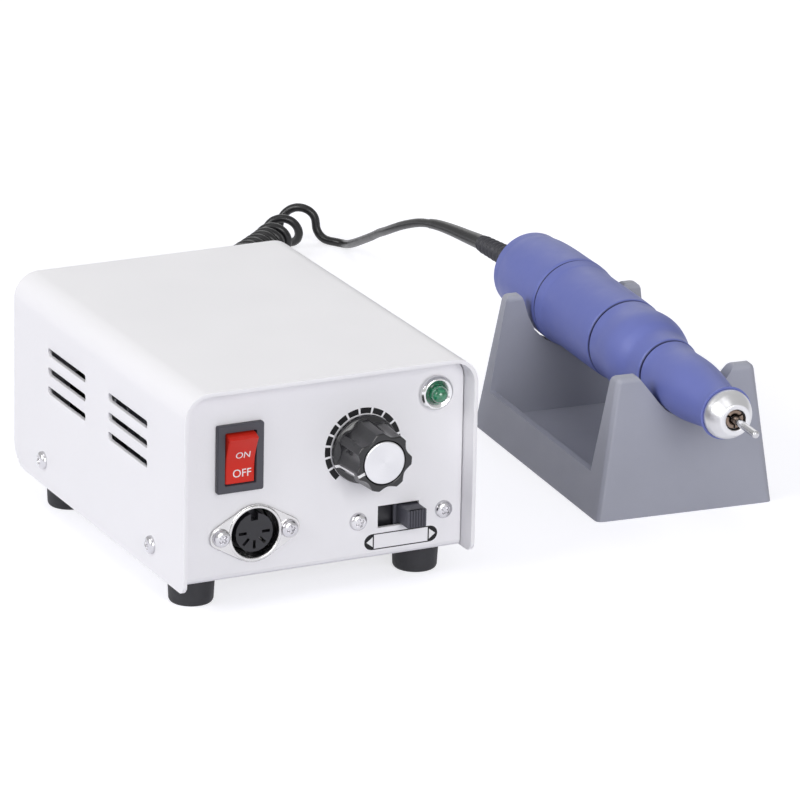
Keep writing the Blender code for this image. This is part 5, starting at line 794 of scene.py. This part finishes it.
layers = effect(layered, Layers=2000.0, Gloss=0.5)
ON_EDGE = {"Rotation": (math.radians(90), 0, 0)}
ON_END = {"Rotation": (0, math.radians(90), 0)}
core_steel = finish("core_steel", layers, ("6A6A6C", "3E3A38"), (0.4, 0.0001), ON_EDGE, {"Metallic": 0.8},
                    Layers=12566.0)
dress(core_steel, "transformer_core")
dress(finish("winding_tape", layers, ("C9A24A", "8A6A28"), (0.3, 0.0002), Layers=3140.0, Gloss=0.35),
      "transformer_winding")
dress(zinc, "transformer_strap")
dress(finish("solder_mask", layers, ("1F7A48", "165C36"), (0.15, 0.0001), ON_END, Layers=900.0, Gloss=0.35),
      "circuit_board")
dress(finish("heatsink_aluminium", plated, ("C9CAD0", "A6A7AE"), (0.15, 0.0001), plain={"Metallic": 0.9},
             Gloss=0.35, Wipe=1500.0), "heatsink")
dress(finish("terminal_green", moulded, ("1E8A6A", "16705A"), (0.2, 0.0001), Gloss=0.4), "terminal_block")


# Top cover
# One sheet of 1.2 mm steel folded into an upside-down U, its edges deburred before painting.
# Six slots are punched in each side, and four screws hold it to the chassis.
SHEET = 0.0012
COVER_DEPTH_HALF = 0.0645
COVER_HEIGHT, COVER_BEND = 0.062, 0.008
COVER_WALL = COVER_HEIGHT - COVER_BEND
COVER_FLAT = 2 * (COVER_HALF - COVER_BEND)
QUARTER = COVER_BEND * math.pi / 2
COVER_WIDTH = 2 * COVER_WALL + 2 * QUARTER + COVER_FLAT
COVER_FRONT, COVER_REAR = BOX_Y - COVER_DEPTH_HALF, BOX_Y + COVER_DEPTH_HALF
FRONT_CORNER, REAR_CORNER = 0.003, 0.008
VENT_LENGTH, VENT_HEIGHT, VENT_RADIUS = 0.0288, 0.0025, 0.0008
VENT_TOPS = (0.0460, 0.03985, 0.0337)
VENT_MIDDLES = (-0.0231, 0.0231)
EDGE_SOFT = 0.0003
NEAR = 1e-6          # points this close to a line lie on it


def arc_lines(edge, radius, way, steps):
    """Grid lines from an edge inwards, at r (1 - cos a): with the other edge's lines they meet on the arc."""
    return edge + way * radius * (1 - np.cos(np.linspace(0, math.pi / 2, steps + 1)))


def slot_lines(low, high):
    """The grid lines for the corners of a slot between two edges."""
    return [arc_lines(high, VENT_RADIUS, -1, 3), arc_lines(low, VENT_RADIUS, 1, 3)]


def in_order(lines):
    """Grid lines from the lowest to the highest, each once."""
    return np.unique(np.round(np.concatenate(lines), 8))


def apart(lines):
    """Grid lines without those that lie on the line before."""
    return lines[np.concatenate(([True], np.diff(lines) > 2 * NEAR))]


def folded(u):
    """The sheet's section at u along it: up one side, round a quarter, over, round a quarter and down."""
    past = np.clip(u - COVER_WALL, 0, None)
    a = np.clip(past / COVER_BEND, 0, math.pi / 2)
    b = np.clip((past - QUARTER - COVER_FLAT) / COVER_BEND, 0, math.pi / 2)
    down = np.clip(past - 2 * QUARTER - COVER_FLAT, 0, None)
    x = COVER_BEND * (1 - np.cos(a)) + np.clip(past - QUARTER, 0, COVER_FLAT) + COVER_BEND * np.sin(b)
    z = np.clip(u, 0, COVER_WALL) + COVER_BEND * np.sin(a) - COVER_BEND * (1 - np.cos(b)) - down
    return BOX_X - COVER_HALF + x, FOOT_HEIGHT + z


def outside_slot(v, h, middle, top):
    """How far a point lies outside a slot's rectangle with round corners; it is negative inside."""
    ends = np.abs(v - BOX_Y - middle) - VENT_LENGTH / 2 + VENT_RADIUS
    edges = np.abs(h - top + VENT_HEIGHT / 2) - VENT_HEIGHT / 2 + VENT_RADIUS
    past = np.hypot(np.clip(ends, 0, None), np.clip(edges, 0, None))
    return past + np.minimum(np.maximum(ends, edges), 0) - VENT_RADIUS


def soften(made, width, degrees):
    """Eases a piece's edges that are sharper than an angle."""
    soft = made.modifiers.new("soft_edges", "BEVEL")
    soft.width, soft.segments = width, 3
    soft.limit_method, soft.angle_limit = "ANGLE", math.radians(degrees)


def top_cover():
    """The sheet's outer face on a grid along the fold and from front to rear, less its slots and corners.

    Lines stand at r (1 - cos a) from each slot's ends and edges, so that a corner's arc runs through grid
    points: the cells on it are halved, and those past it are dropped. Solidify gives the wall, and Bevel
    the edges.
    """
    rise = [arc_lines(0.0, FRONT_CORNER, 1, 6), arc_lines(0.0, REAR_CORNER, 1, 8),
            np.linspace(REAR_CORNER, COVER_WALL, 12)]
    depth = [arc_lines(COVER_FRONT, FRONT_CORNER, 1, 6), arc_lines(COVER_REAR, REAR_CORNER, -1, 8),
             np.linspace(COVER_FRONT + FRONT_CORNER, COVER_REAR - REAR_CORNER, 15)]
    for top in VENT_TOPS:
        rise += slot_lines(top - VENT_HEIGHT, top)
    for middle in VENT_MIDDLES:
        depth += slot_lines(BOX_Y + middle - VENT_LENGTH / 2, BOX_Y + middle + VENT_LENGTH / 2)
    rise = in_order(rise)
    bend = COVER_WALL + QUARTER * np.linspace(0, 1, 17)[1:]
    over = COVER_WALL + QUARTER + COVER_FLAT * np.linspace(0, 1, 9)[1:-1]
    u = apart(np.concatenate((rise, bend, over, COVER_WIDTH - bend[::-1], COVER_WIDTH - rise[::-1])))
    v = apart(in_order(depth))
    x, z = folded(u)
    grid = np.stack(np.broadcast_arrays(x[:, None], v[None], z[:, None]), axis=-1)
    v, h = np.broadcast_arrays(v[None], np.minimum(u, COVER_WIDTH - u)[:, None])
    slots = [outside_slot(v, h, middle, top) for middle in VENT_MIDDLES for top in VENT_TOPS]
    lost = np.any(np.array(slots) < -NEAR, axis=0)
    on_arc = np.any(np.abs(slots) < 2 * NEAR, axis=0)
    for edge, radius, way in ((COVER_FRONT, FRONT_CORNER, 1), (COVER_REAR, REAR_CORNER, -1)):
        past_v, past_h = radius - way * (v - edge), radius - h
        lost |= (past_v > 0) & (past_h > 0) & (np.hypot(past_v, past_h) > radius + NEAR)
    cells = cell_corners(numbered(grid))
    cell_lost, cell_on_arc = cell_corners(lost), cell_corners(on_arc)
    halved = cell_lost.sum(-1) == 1
    whole = ~cell_lost.any(-1) & ~cell_on_arc.all(-1)
    triangles = cells[halved][~cell_lost[halved]].reshape(-1, 3)
    used, faces = np.unique(np.concatenate((cells[whole].ravel(), triangles.ravel())), return_inverse=True)
    split = 4 * int(whole.sum())
    faces = faces[:split].reshape(-1, 4).tolist() + faces[split:].reshape(-1, 3).tolist()
    made = piece("cover_sheet", grid.reshape(-1, 3)[used], faces, cover_paint)
    if sum(polygon.normal.z * polygon.area for polygon in made.data.polygons) < 0:
        made.data.flip_normals()
    wall = made.modifiers.new("wall", "SOLIDIFY")
    wall.thickness, wall.offset, wall.use_even_offset = SHEET, -1.0, True
    soften(made, EDGE_SOFT, 40)
    return made


cover_paint = finish("cover_paint", coat, ("F2F1F4", "E8E7EB"), (0.16, 0.0003), Peel=800.0, Gloss=0.45)
fit(top_cover(), "control_unit", "white_paint", "top_cover")


# Stand
# One moulding of grey ABS: two notched end walls, low rails and a tray between them.
# All of its edges are rounded in the mould, and its faces have a fine satin grain.
stand_grey = finish("stand_grey", moulded, ("A6A8B4", "9A9CA8"), (0.12, 0.0002), Grain=1500.0, Gloss=0.45,
                    Marks=0.25)
STAND_EASE = 0.0010


def stand_moulding():
    """A copy of the stand's solid whose triangles are merged into faces and whose edges are eased."""
    mesh = bmesh.new()
    mesh.from_mesh(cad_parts["stand"].data)
    bmesh.ops.remove_doubles(mesh, verts=mesh.verts, dist=NEAR)
    bmesh.ops.dissolve_limit(mesh, angle_limit=math.radians(1), verts=mesh.verts, edges=mesh.edges)
    data = bpy.data.meshes.new("stand_moulding")
    mesh.to_mesh(data)
    mesh.free()
    data.materials.clear()
    data.materials.append(stand_grey)
    data.shade_smooth()
    made = in_scene("stand_moulding", data)
    soften(made, STAND_EASE, 28)
    made.modifiers.new("flat_faces", "WEIGHTED_NORMAL").keep_sharp = False
    return made


fit(stand_moulding(), "control_unit", "grey_plastic", "stand")


# Handpiece
# Turned and anodised shells in matt blue on one axis: the domed rear cap, the motor housing, the
# twist ring that works the chuck, and the slim front sleeve with its polished nose.
STAND_TURN = math.radians(-4)
STAND_X, STAND_Y = 0.1359, -0.0367
AXIS_BACK, AXIS_HEIGHT = 0.0368, 0.0413
forward = np.array((math.sin(STAND_TURN), -math.cos(STAND_TURN), 0.0))
across_axis = np.array((math.cos(STAND_TURN), math.sin(STAND_TURN), 0.0))
middle = np.array((BOX_X + STAND_X, BOX_Y + STAND_Y, AXIS_HEIGHT)) - forward * AXIS_BACK
hand_place = (middle, across_axis, (0, 0, 1), forward)
hand_mapping = {"Location": (-np.array((across_axis @ middle, middle[2], forward @ middle))).tolist(),
                "Rotation": (math.radians(-90), -STAND_TURN, 0)}
REAR_SEAM, MIDDLE_SEAM, FRONT_SEAM = -0.0522, -0.0110, 0.0215
SEAM_HALF, SEAM_CUT = 0.0002, 0.00045


def smooth(points, steps):
    """A Catmull-Rom curve through points, with so many steps in each span."""
    given = np.asarray(points, float)
    p = np.vstack((2 * given[0] - given[1], given, 2 * given[-1] - given[-2]))
    a, b, c, d = (p[i:len(p) - 3 + i, None] for i in range(4))
    t = (np.arange(steps) / steps)[None, :, None]
    curve = 2 * b + (c - a) * t + (2 * a - 5 * b + 4 * c - d) * t ** 2 + (3 * b - a - 3 * c + d) * t ** 3
    return np.vstack((0.5 * curve.reshape(-1, given.shape[1]), given[-1:]))


def seam_shade_skin(tree, given):
    """A moulded skin painted darker in a fine line round the z axis at three seams: painted shade in the gaps
    between the shells.
    """
    labels = ("Vector", "Colour", "Dark", "Grain", "Gloss", "Marks")
    skin = node(tree, "Group", {label: given[label] for label in labels}, node_tree=moulded).outputs
    station = node(tree, "SeparateXYZ", {"Vector": given["Vector"]}).outputs["Z"]
    rear, middle, front = (math_node(tree, "ABSOLUTE", math_node(tree, "SUBTRACT", station, given[label]))
                           for label in ("Rear", "Middle", "Front"))
    nearest = math_node(tree, "MINIMUM", math_node(tree, "MINIMUM", rear, middle), front)
    # Painted shade: near a seam the colour is mixed towards a near-black blue, for the shade in the gap
    # between two shells.
    line = spread(tree, nearest, 0.75, 0.0, start=0.0003, end=0.0006)
    return blend_colours(tree, line, skin["Colour"], (0.0, 0.0, 0.02, 1.0)), skin["Roughness"], skin["Height"]


def chamfered(points, steps, rear=True, front=True):
    """A shell's smooth outer line, with a small 45 degree cut at either end where it meets the next."""
    line = smooth(points, steps)
    first, last = line[0], line[-1]
    if rear:
        line = np.vstack((first - (SEAM_CUT, 0), line[line[:, 1] > first[1] + SEAM_CUT]))
    if front:
        line = np.vstack((line[line[:, 1] < last[1] - SEAM_CUT], last - (SEAM_CUT, 0)))
    return line


# The handpiece's skin, with painted shade at its three seams.
seam_shade = effect(seam_shade_skin, Grain=2600.0, Gloss=0.5, Marks=0.25, Rear=0.0, Middle=0.0, Front=0.0)
blue = finish("handpiece_blue", seam_shade, ("6872B6", "606AAE"), (0.12, 0.0001), hand_mapping,
              {"Specular IOR Level": 0.6}, Rear=REAR_SEAM, Middle=MIDDLE_SEAM, Front=FRONT_SEAM)
CAP_REAR, CAP_FRONT, CAP_RADIUS = -0.0945, REAR_SEAM - SEAM_HALF, 0.0145
CAP_DOME = np.array(((0.345, 0.0), (0.517, 0.019), (0.645, 0.048), (0.760, 0.098), (0.861, 0.178),
                     (0.929, 0.284), (0.966, 0.408), (0.984, 0.571), (0.990, 0.816), (1.0, 1.0)))
CAP_INNER = ((0.0131, CAP_FRONT), (0.0131, -0.0880), (0.0047, -0.0905))
HOUSING_REAR, HOUSING_FRONT = REAR_SEAM + SEAM_HALF, MIDDLE_SEAM - SEAM_HALF
HOUSING_OUTER = ((0.0145, HOUSING_REAR), (0.0141, -0.0486), (0.0137, -0.0435), (0.0137, -0.0209),
                 (0.01355, HOUSING_FRONT))
HOUSING_INNER = ((0.0090, HOUSING_FRONT), (0.0090, 0.0213), (0.0078, 0.0213), (0.0078, 0.0263),
                 (0.0066, 0.0263), (0.0066, -0.0132), (0.0123, -0.0132), (0.0123, -0.0560),
                 (0.01238, -0.0560), (0.01238, HOUSING_REAR))
RING_REAR, RING_FRONT = MIDDLE_SEAM + SEAM_HALF, FRONT_SEAM - SEAM_HALF
RING_SWELL = np.array(((0.0134, 0.0), (0.0132, 0.16), (0.0138, 0.42), (0.01282, 0.61), (0.0110, 0.77),
                       (0.0105, 1.0)))
RING_INNER = ((0.0093, RING_FRONT), (0.0093, RING_REAR))
SLEEVE_REAR, SLEEVE_FRONT = FRONT_SEAM + SEAM_HALF, 0.0633
SLEEVE_OUTER = ((0.0103, SLEEVE_REAR), (0.0097, 0.0265), (0.0097, 0.0410), (0.0073, 0.0590),
                (0.0085, SLEEVE_FRONT))
SLEEVE_INNER = ((0.0059, SLEEVE_FRONT), (0.0059, 0.0408), (0.0081, 0.0408), (0.0081, SLEEVE_REAR))
SHELL_EASE, HAND_SIDES = 0.0001, 128
cap_outer = CAP_DOME * (CAP_RADIUS, CAP_FRONT - CAP_REAR) + (0, CAP_REAR)
ring_outer = RING_SWELL * (1, RING_FRONT - RING_REAR) + (0, RING_REAR)
SHELLS = (("rear_cap", "handpiece", chamfered(cap_outer, 6, rear=False), CAP_INNER),
          ("motor_housing", "handpiece", chamfered(HOUSING_OUTER, 16), HOUSING_INNER),
          ("twist_ring", "chuck_ring", chamfered(ring_outer, 12), RING_INNER),
          ("front_sleeve", "handpiece", chamfered(SLEEVE_OUTER, 12, front=False), SLEEVE_INNER))
for name, body, outer, inner in SHELLS:
    fit(turned(name + "_shell", [*outer, *inner], hand_place, blue, SHELL_EASE, HAND_SIDES), body,
        "blue_plastic", name)


# Nose, chuck and bur
# The polished steel nose round the collet, whose three jaws are dark from hardening, and the
# straight ground shank of the bur that they grip.
NOSE = ((0.00335, 0.0705), (0.0049, 0.0705), (0.0052, 0.0702), (0.0064, 0.0683), (0.0072, 0.0668),
        (0.0078, 0.0650), (0.0078, 0.0636), (0.0056, 0.0636), (0.0056, 0.0601), (0.0047, 0.0601),
        (0.0047, 0.0663), (0.00335, 0.0663))
BUR = ((0, 0.0408), (0.001175, 0.0408), (0.001175, 0.0847), (0.00082, 0.0852), (0, 0.0853))
NOSE_EASE = BUR_EASE = 0.0003
nose_steel = finish("nose_steel", spun, ("E2E2E4", "C6C6CA"), (0.3, 0.00004), hand_mapping, METAL,
                    Gloss=0.32, Rings=4000.0)
fit(turned("nose_cone", NOSE, hand_place, nose_steel, NOSE_EASE, HAND_SIDES), "handpiece", "spun_metal",
    "nose_cap")
dress(finish("jaw_steel", plated, ("A08E80", "6E5E54"), (0.1, 0.00005), plain=METAL, Gloss=0.3), "collet")
ground_steel = finish("ground_steel", plated, ("D6D6D8", "B2B2B6"), (0.05, 0.00005), plain=METAL, Gloss=0.2)
dress(ground_steel, "spindle", "front_bearing", "rear_bearing")
fit(turned("bur_shank", BUR, hand_place, ground_steel, BUR_EASE, sides=48), "bur",
    "bright_steel", "bur_pin")


# Motor inside the handpiece
# A slotted core with enamelled wire and a commutator, a ring magnet round it, and two carbon
# brushes in their holder.
dress(core_steel, "rotor_core")
dress(finish("enamelled_copper", layers, ("B5623A", "7C3A20"), (0.3, 0.0001), plain={"Metallic": 0.9},
             Layers=9000.0, Gloss=0.3), "windings_and_commutator")
dress(finish("magnet_grey", moulded, ("5A5A60", "46464B"), (0.3, 0.0001), plain={"Metallic": 0.6},
             Grain=1500.0, Gloss=0.5), "ring_magnet")
dress(black_plastic, "brush_holder")
dress(finish("carbon_black", moulded, ("303033", "1E1E20"), (0.5, 0.0001), Grain=3000.0, Gloss=0.7),
      "carbon_brush_left", "carbon_brush_right")


# Cord collar and boot
# The collar is a ribbed sleeve of grey rubber pressed into the rear cap; the black boot leads
# from it down to the cord.
UP = np.array((0.0, 0.0, 1.0))
SHIFT = np.array((BOX_X, BOX_Y, 0.0))
CORD_DIAMETER = 0.0030
COLLAR_LENGTH, COLLAR_RIBS, COLLAR_GROOVE, RIB_START, RIB_POWER = 0.0300, 10, 0.00075, 0.3, 0.7
COLLAR_REAR, COLLAR_TIP, COLLAR_ROOT = 0.0040, 0.0030, 0.0030
COLLAR_DROOP, COLLAR_SWING = math.radians(2.5), math.radians(1)
BOOT_RADIUS, BOOT_TAPER, BOOT_POINTS = 0.0026, 0.64, 40
BOOT_ROUTE = ((0.1454, 0.1340, 0.0394), (0.1449, 0.1440, 0.0388), (0.1445, 0.1520, 0.0381),
              (0.1441, 0.1570, 0.0375), (0.1439, 0.1600, 0.0369))


def unit(vectors):
    """Vectors made 1 long."""
    vectors = np.asarray(vectors, float)
    return vectors / np.linalg.norm(vectors, axis=-1, keepdims=True)


def ribbed_collar(start, way):
    """The collar's radius along it: a taper less a rib's groove, (0.5 - 0.5 cos)^0.7 of its pitch."""
    along = np.linspace(0, 1, COLLAR_RIBS * 14 + 1)
    rib = (0.5 - 0.5 * np.cos(math.tau * (along * COLLAR_RIBS + RIB_START))) ** RIB_POWER
    radius = COLLAR_REAR + (COLLAR_TIP - COLLAR_REAR) * along - COLLAR_GROOVE * (1 - rib)
    ribs = np.column_stack((radius, along * COLLAR_LENGTH))
    profile = [(0, -COLLAR_ROOT), (COLLAR_REAR, -COLLAR_ROOT), *ribs, (0, COLLAR_LENGTH)]
    right = unit(np.cross(way, UP))
    place = (start, right, np.cross(right, way), way)
    return turned("cord_collar_ribs", profile, place, collar_rubber, 0.0, sides=48)


def distances(line):
    """How far along a line of points each of them is."""
    return np.concatenate(([0], np.cumsum(np.linalg.norm(np.diff(line, axis=0), axis=1))))


def points_at(marks, along, line):
    """The points of a line at some distances along it."""
    return np.column_stack([np.interp(marks, along, column) for column in line.T])


def evenly(start, start_way, route, end, end_way, count):
    """So many points along a smooth line that leaves and arrives straight for one diameter."""
    first, last = start + start_way * CORD_DIAMETER, end - end_way * CORD_DIAMETER
    line = smooth([start, first, *route, last, end], 16)
    along = distances(line)
    return points_at(np.linspace(0, along[-1], count), along, line)


def hose(name, points, radii, material, sides=32):
    """A tube: round each point, r (cos a) n + r (sin a) b, with n and b square to the line there."""
    way = unit(np.gradient(points, axis=0))
    n = unit(np.cross(way, UP))
    b = np.cross(n, way)
    a = np.linspace(0, math.tau, sides, endpoint=False)[None, :, None]
    grid = points[:, None] + radii[:, None, None] * (np.cos(a) * n[:, None] + np.sin(a) * b[:, None])
    first, last = (np.repeat(end[None, None], sides, 1) for end in points[[0, -1]])
    grid = np.concatenate((first, grid, last))
    return piece(name, grid.reshape(-1, 3), woven(grid), material, hard=60.0)


collar_way = unit((math.sin(COLLAR_SWING), math.cos(COLLAR_SWING), -math.tan(COLLAR_DROOP)))
collar_start = middle + forward * CAP_REAR
collar_rubber = finish("collar_rubber", moulded, ("37373E", "2C2C32"), (0.3, 0.0001), Grain=1800.0,
                       Gloss=0.58, Marks=0.2)
cord_black = finish("cord_black", moulded, ("131316", "0C0C0E"), (0.15, 0.0001), Grain=1400.0, Gloss=0.34,
                    Marks=0.2)
fit(ribbed_collar(collar_start, collar_way), "handpiece", "collar_grey", "cord_collar")
boot_route = np.array(BOOT_ROUTE) + SHIFT
boot_end = boot_route[-1]
boot_way = unit(boot_route[-1] - boot_route[-2])
boot_line = evenly(collar_start + collar_way * COLLAR_LENGTH, collar_way, boot_route[:-1], boot_end, boot_way,
                   BOOT_POINTS)
boot_radii = BOOT_RADIUS * np.linspace(1, BOOT_TAPER, BOOT_POINTS)
fit(hose("cord_boot_sleeve", boot_line, boot_radii, cord_black), "handpiece", "cord_black", "cord_boot")


# Curly cord
# Black PVC lead, 3 mm thick: straight from the boot down to the bench, then thirty-two close curls
# that lie behind the box, and a short tail to the plug.
LEAD_ROUTE = ((0.1433, 0.1690, 0.0347), (0.1428, 0.1780, 0.0314), (0.1430, 0.1860, 0.0280),
              (0.1440, 0.1940, 0.0246), (0.1454, 0.2020, 0.0214), (0.1474, 0.2120, 0.0170),
              (0.1494, 0.2220, 0.0128), (0.1515, 0.2320, 0.0087), (0.1534, 0.2400, 0.0056),
              (0.1551, 0.2460, 0.0035), (0.1562, 0.2505, 0.0021))
COIL_ROUTE = ((0.1475, 0.2675), (0.1395, 0.2625), (0.1180, 0.2420), (0.0890, 0.2180), (0.0590, 0.1970),
              (0.0270, 0.1850))
TAIL_ROUTE = ((0.0370, 0.1690, 0.0015), (0.0500, 0.1620, 0.0015), (0.0630, 0.1540, 0.0015),
              (0.0680, 0.1440, 0.0019), (0.0640, 0.1350, 0.0038), (0.0550, 0.1306, 0.0064))
LEAD_POINTS, TAIL_POINTS = 30, 18
PLUG_BACK = np.array((0.0420, 0.1300, 0.0080)) + SHIFT
PLUG_WAY = np.array((-1.0, 0.0, 0.0))
CURLS, CURL_RADIUS, CURL_POINTS = 32, 0.0049, 16
LOOSE_CURLS, LOOSE_SHARE, LOOSE_SWELL = 3, 3.2, 0.0005


def curl_points():
    """The curls: at turn t, centre(t) + side r cos(2 pi t) + up r (1 + sin(2 pi t)), looser at the start."""
    flat = smooth(COIL_ROUTE, 24)
    along = distances(flat)
    last = CURLS - 0.25
    turns = np.linspace(0, last, round(last * CURL_POINTS) + 1)
    fine = np.linspace(0, last, 40 * CURLS)
    pace = (1 + LOOSE_SHARE * np.clip(1 - fine / LOOSE_CURLS, 0, 1)) * np.clip(fine * 4, 0, 1)
    travel = np.concatenate(([0], np.cumsum((pace[1:] + pace[:-1]) / 2 * np.diff(fine))))
    advance = np.interp(turns, fine, travel * along[-1] / travel[-1])
    centre = points_at(advance, along, flat)
    heading = unit(points_at(advance, along, np.gradient(flat, axis=0)))
    side = np.column_stack((-heading[:, 1], heading[:, 0]))
    radius = CURL_RADIUS + LOOSE_SWELL * np.clip(1 - turns / LOOSE_CURLS, 0, 1)
    ground = centre + side * (radius * np.cos(math.tau * turns))[:, None]
    helix = np.column_stack((ground, CORD_DIAMETER / 2 + radius * (1 + np.sin(math.tau * turns))))
    out, way = np.array((*side[0], 0.0)), np.array((*side[-1], 0.0))
    a = np.linspace(0, math.pi / 2, 6)[:-1, None]
    bend = helix[0] + out * radius[0] * (1 - np.sin(a)) - UP * radius[0] * np.cos(a)
    foot, tail = bend[:1] + out * CORD_DIAMETER, helix[-1:] + way * CORD_DIAMETER
    return np.vstack((foot, bend, helix, tail)) + SHIFT, -out, way


def free_cord(name, points):
    """One open spline through the cord's points, round in section."""
    curve = bpy.data.curves.new(name, "CURVE")
    curve.dimensions = "3D"
    spline = curve.splines.new("BEZIER")
    spline.bezier_points.add(len(points) - 1)
    spline.bezier_points.foreach_set("co", points.ravel())
    for point in spline.bezier_points:
        point.handle_left_type = point.handle_right_type = "AUTO"
    spline.resolution_u = curve.bevel_resolution = 4
    curve.bevel_depth = CORD_DIAMETER / 2
    curve.use_fill_caps = True
    curve.materials.append(cord_black)
    return in_scene(name, curve)


curls, curl_way, tail_way = curl_points()
lead = evenly(boot_end, boot_way, np.array(LEAD_ROUTE) + SHIFT, curls[0], curl_way, LEAD_POINTS)
tail = evenly(curls[-1], tail_way, np.array(TAIL_ROUTE) + SHIFT, PLUG_BACK, PLUG_WAY, TAIL_POINTS)
cord_line = np.vstack((lead[:-1], curls, tail[1:]))


# Cord plug
# The round plug that fits the socket: a moulded grip, a plated shell, and five pins inside it.
# The grip's ribs are moulded with it. The cord is drawn here, and ends inside.
PLUG_SHELL = ((0.0063, 0.0303), (0.0069, 0.0303), (0.0069, 0.0410), (0.0063, 0.0410))
GRIP_RADIUS, GRIP_RIB, GRIP_EASE = 0.0080, 0.0005, 0.0003
GRIP_RIBS = [(GRIP_RADIUS - GRIP_RIB * (k % 2), 0.0130 + 0.0008 * k) for k in range(15)]
GRIP = ((0, 0), (0.0034, 0), (0.0036, 0.0004), (0.0036, 0.0040), (0.0060, 0.0086), (GRIP_RADIUS, 0.0112),
        *GRIP_RIBS, (GRIP_RADIUS, 0.0260), (GRIP_RADIUS, 0.0300), (0.0060, 0.0300), (0.0060, 0.0320),
        (0, 0.0320))
PIN = ((0, 0.0310), (0.0007, 0.0310), (0.0007, 0.0397), (0.0004, 0.0400), (0, 0.0400))
plug_place = (PLUG_BACK, (0, -1, 0), (0, 0, 1), PLUG_WAY)
plug_shell = fit(turned("plug_shell_tube", PLUG_SHELL, plug_place, nickel), "control_unit", "bright_steel",
                 "plug_shell")
plug_grip = fit(turned("plug_grip_ribs", GRIP, plug_place, black_plastic, GRIP_EASE), "control_unit",
                "dark_plastic", "plug_grip")
plug_pins = [turned(f"plug_pin_{count}", PIN, (spot, *plug_place[1:]), nickel, 0.0, sides=24)
             for count, spot in enumerate(contact_spots(plug_place), 1)]
for pin in plug_pins:
    fit(pin, "control_unit", "bright_steel")
cord = free_cord("curly_lead", cord_line)
fit(cord, "control_unit", "cord_black", "handpiece_cord", "curly_cord", "cord_tail")


# Table and studio
# A plain pale table top in an even white room, lit by four soft boxes: at the left, in front, above
# and behind. The camera stands where the photograph was taken from.
TABLE_REACH = 12.0
TABLE_TINT, TABLE_ROUGHNESS, TABLE_GLOW = "BCBCC6", 0.8, 0.67
ROOM_LIGHT, ROOM_MIRRORED, ROOM_SEEN = 0.3, 0.35, 0.7
SOFT_BOXES = (("left", (-2.0, -0.2, 1.2), 1.4, 31.0), ("front", (-0.2, -2.2, 0.8), 1.3, 25.0),
              ("top", (-0.5, -0.3, 2.4), 1.2, 5.0), ("rear", (0.9, 2.0, 1.0), 1.6, 5.0))
CAMERA_YAW, CAMERA_PITCH, CAMERA_ROLL = np.radians((26.47, 18.82, -1.15))
CAMERA_PLACE = (-0.80654426, -1.64270614, 0.6473881)
LENS_LENGTH, SENSOR_WIDTH, SIGHT = 275.697, 36.0, 100.0


def table():
    """The table top, which glows where it is seen or mirrored, so that it is white but takes shadows."""
    mesh = bpy.data.meshes.new("table_top")
    corners = np.array(((-1, -1, 0), (1, -1, 0), (1, 1, 0), (-1, 1, 0))) * TABLE_REACH
    mesh.from_pydata(corners.tolist(), [], [(0, 1, 2, 3)])
    paint = bpy.data.materials.new("table_white")
    paint.use_nodes = True
    tree = paint.node_tree
    shader = tree.nodes["Principled BSDF"]
    shader.inputs["Base Color"].default_value = tint(TABLE_TINT)
    shader.inputs["Roughness"].default_value = TABLE_ROUGHNESS
    rays = node(tree, "LightPath").outputs
    seen = math_node(tree, "MAXIMUM", rays["Is Camera Ray"], rays["Is Glossy Ray"])
    seen = math_node(tree, "MAXIMUM", seen, rays["Is Transmission Ray"])
    strength = math_node(tree, "MULTIPLY", seen, TABLE_GLOW)
    glow = node(tree, "Emission", {"Color": (1, 1, 1, 1), "Strength": strength})
    both = node(tree, "AddShader", {0: shader.outputs[0], 1: glow.outputs[0]})
    tree.links.new(both.outputs[0], tree.nodes["Material Output"].inputs["Surface"])
    mesh.materials.append(paint)
    in_scene("table_top", mesh)


def room():
    """An even white room, brighter where it is seen than where it lights."""
    world = bpy.data.worlds.new("room")
    bpy.context.scene.world = world
    world.use_nodes = True
    tree = world.node_tree
    rays = node(tree, "LightPath").outputs
    seen = math_node(tree, "MAXIMUM", rays["Is Camera Ray"], rays["Is Transmission Ray"])
    seen = math_node(tree, "MULTIPLY", seen, ROOM_SEEN)
    glossy = math_node(tree, "MULTIPLY", rays["Is Glossy Ray"], ROOM_MIRRORED)
    strength = math_node(tree, "ADD", ROOM_LIGHT, math_node(tree, "MAXIMUM", glossy, seen))
    background = tree.nodes["Background"].inputs
    background["Color"].default_value = (1.0, 1.0, 1.0, 1.0)
    tree.links.new(strength, background["Strength"])


def stood(name, data, origin, right, up, out):
    """A lamp or camera at a place, looking against its out axis."""
    made = in_scene(name, data)
    matrix = np.eye(4)
    matrix[:3] = np.column_stack((right, up, out, origin))
    made.matrix_world = Matrix(matrix.tolist())
    return made


def soft_box(name, place, size, power):
    """A round soft box turned towards the object, its size in metres and its power in watts."""
    light = bpy.data.lights.new(name, "AREA")
    light.shape, light.size, light.energy = "DISK", size, power
    out = unit(place)
    right = unit(np.cross(UP, out))
    stood(name, light, place, right, np.cross(out, right), out)


def camera():
    """A long lens at the photograph's distance: yaw, pitch and roll turn its axes."""
    level = np.array((math.sin(CAMERA_YAW), math.cos(CAMERA_YAW), 0.0))
    ahead = level * math.cos(CAMERA_PITCH) - UP * math.sin(CAMERA_PITCH)
    right = np.array((math.cos(CAMERA_YAW), -math.sin(CAMERA_YAW), 0.0))
    down = np.cross(ahead, right)
    cos, sin = math.cos(CAMERA_ROLL), math.sin(CAMERA_ROLL)
    lens = bpy.data.cameras.new("camera")
    lens.sensor_width, lens.lens, lens.clip_end = SENSOR_WIDTH, LENS_LENGTH, SIGHT
    return stood("camera", lens, CAMERA_PLACE, cos * right + sin * down, sin * right - cos * down, -ahead)


table()
room()
for name, place, size, power in SOFT_BOXES:
    soft_box("soft_box_" + name, place, size, power)
bpy.context.scene.camera = camera()
bpy.context.scene.view_settings.view_transform = "Standard"
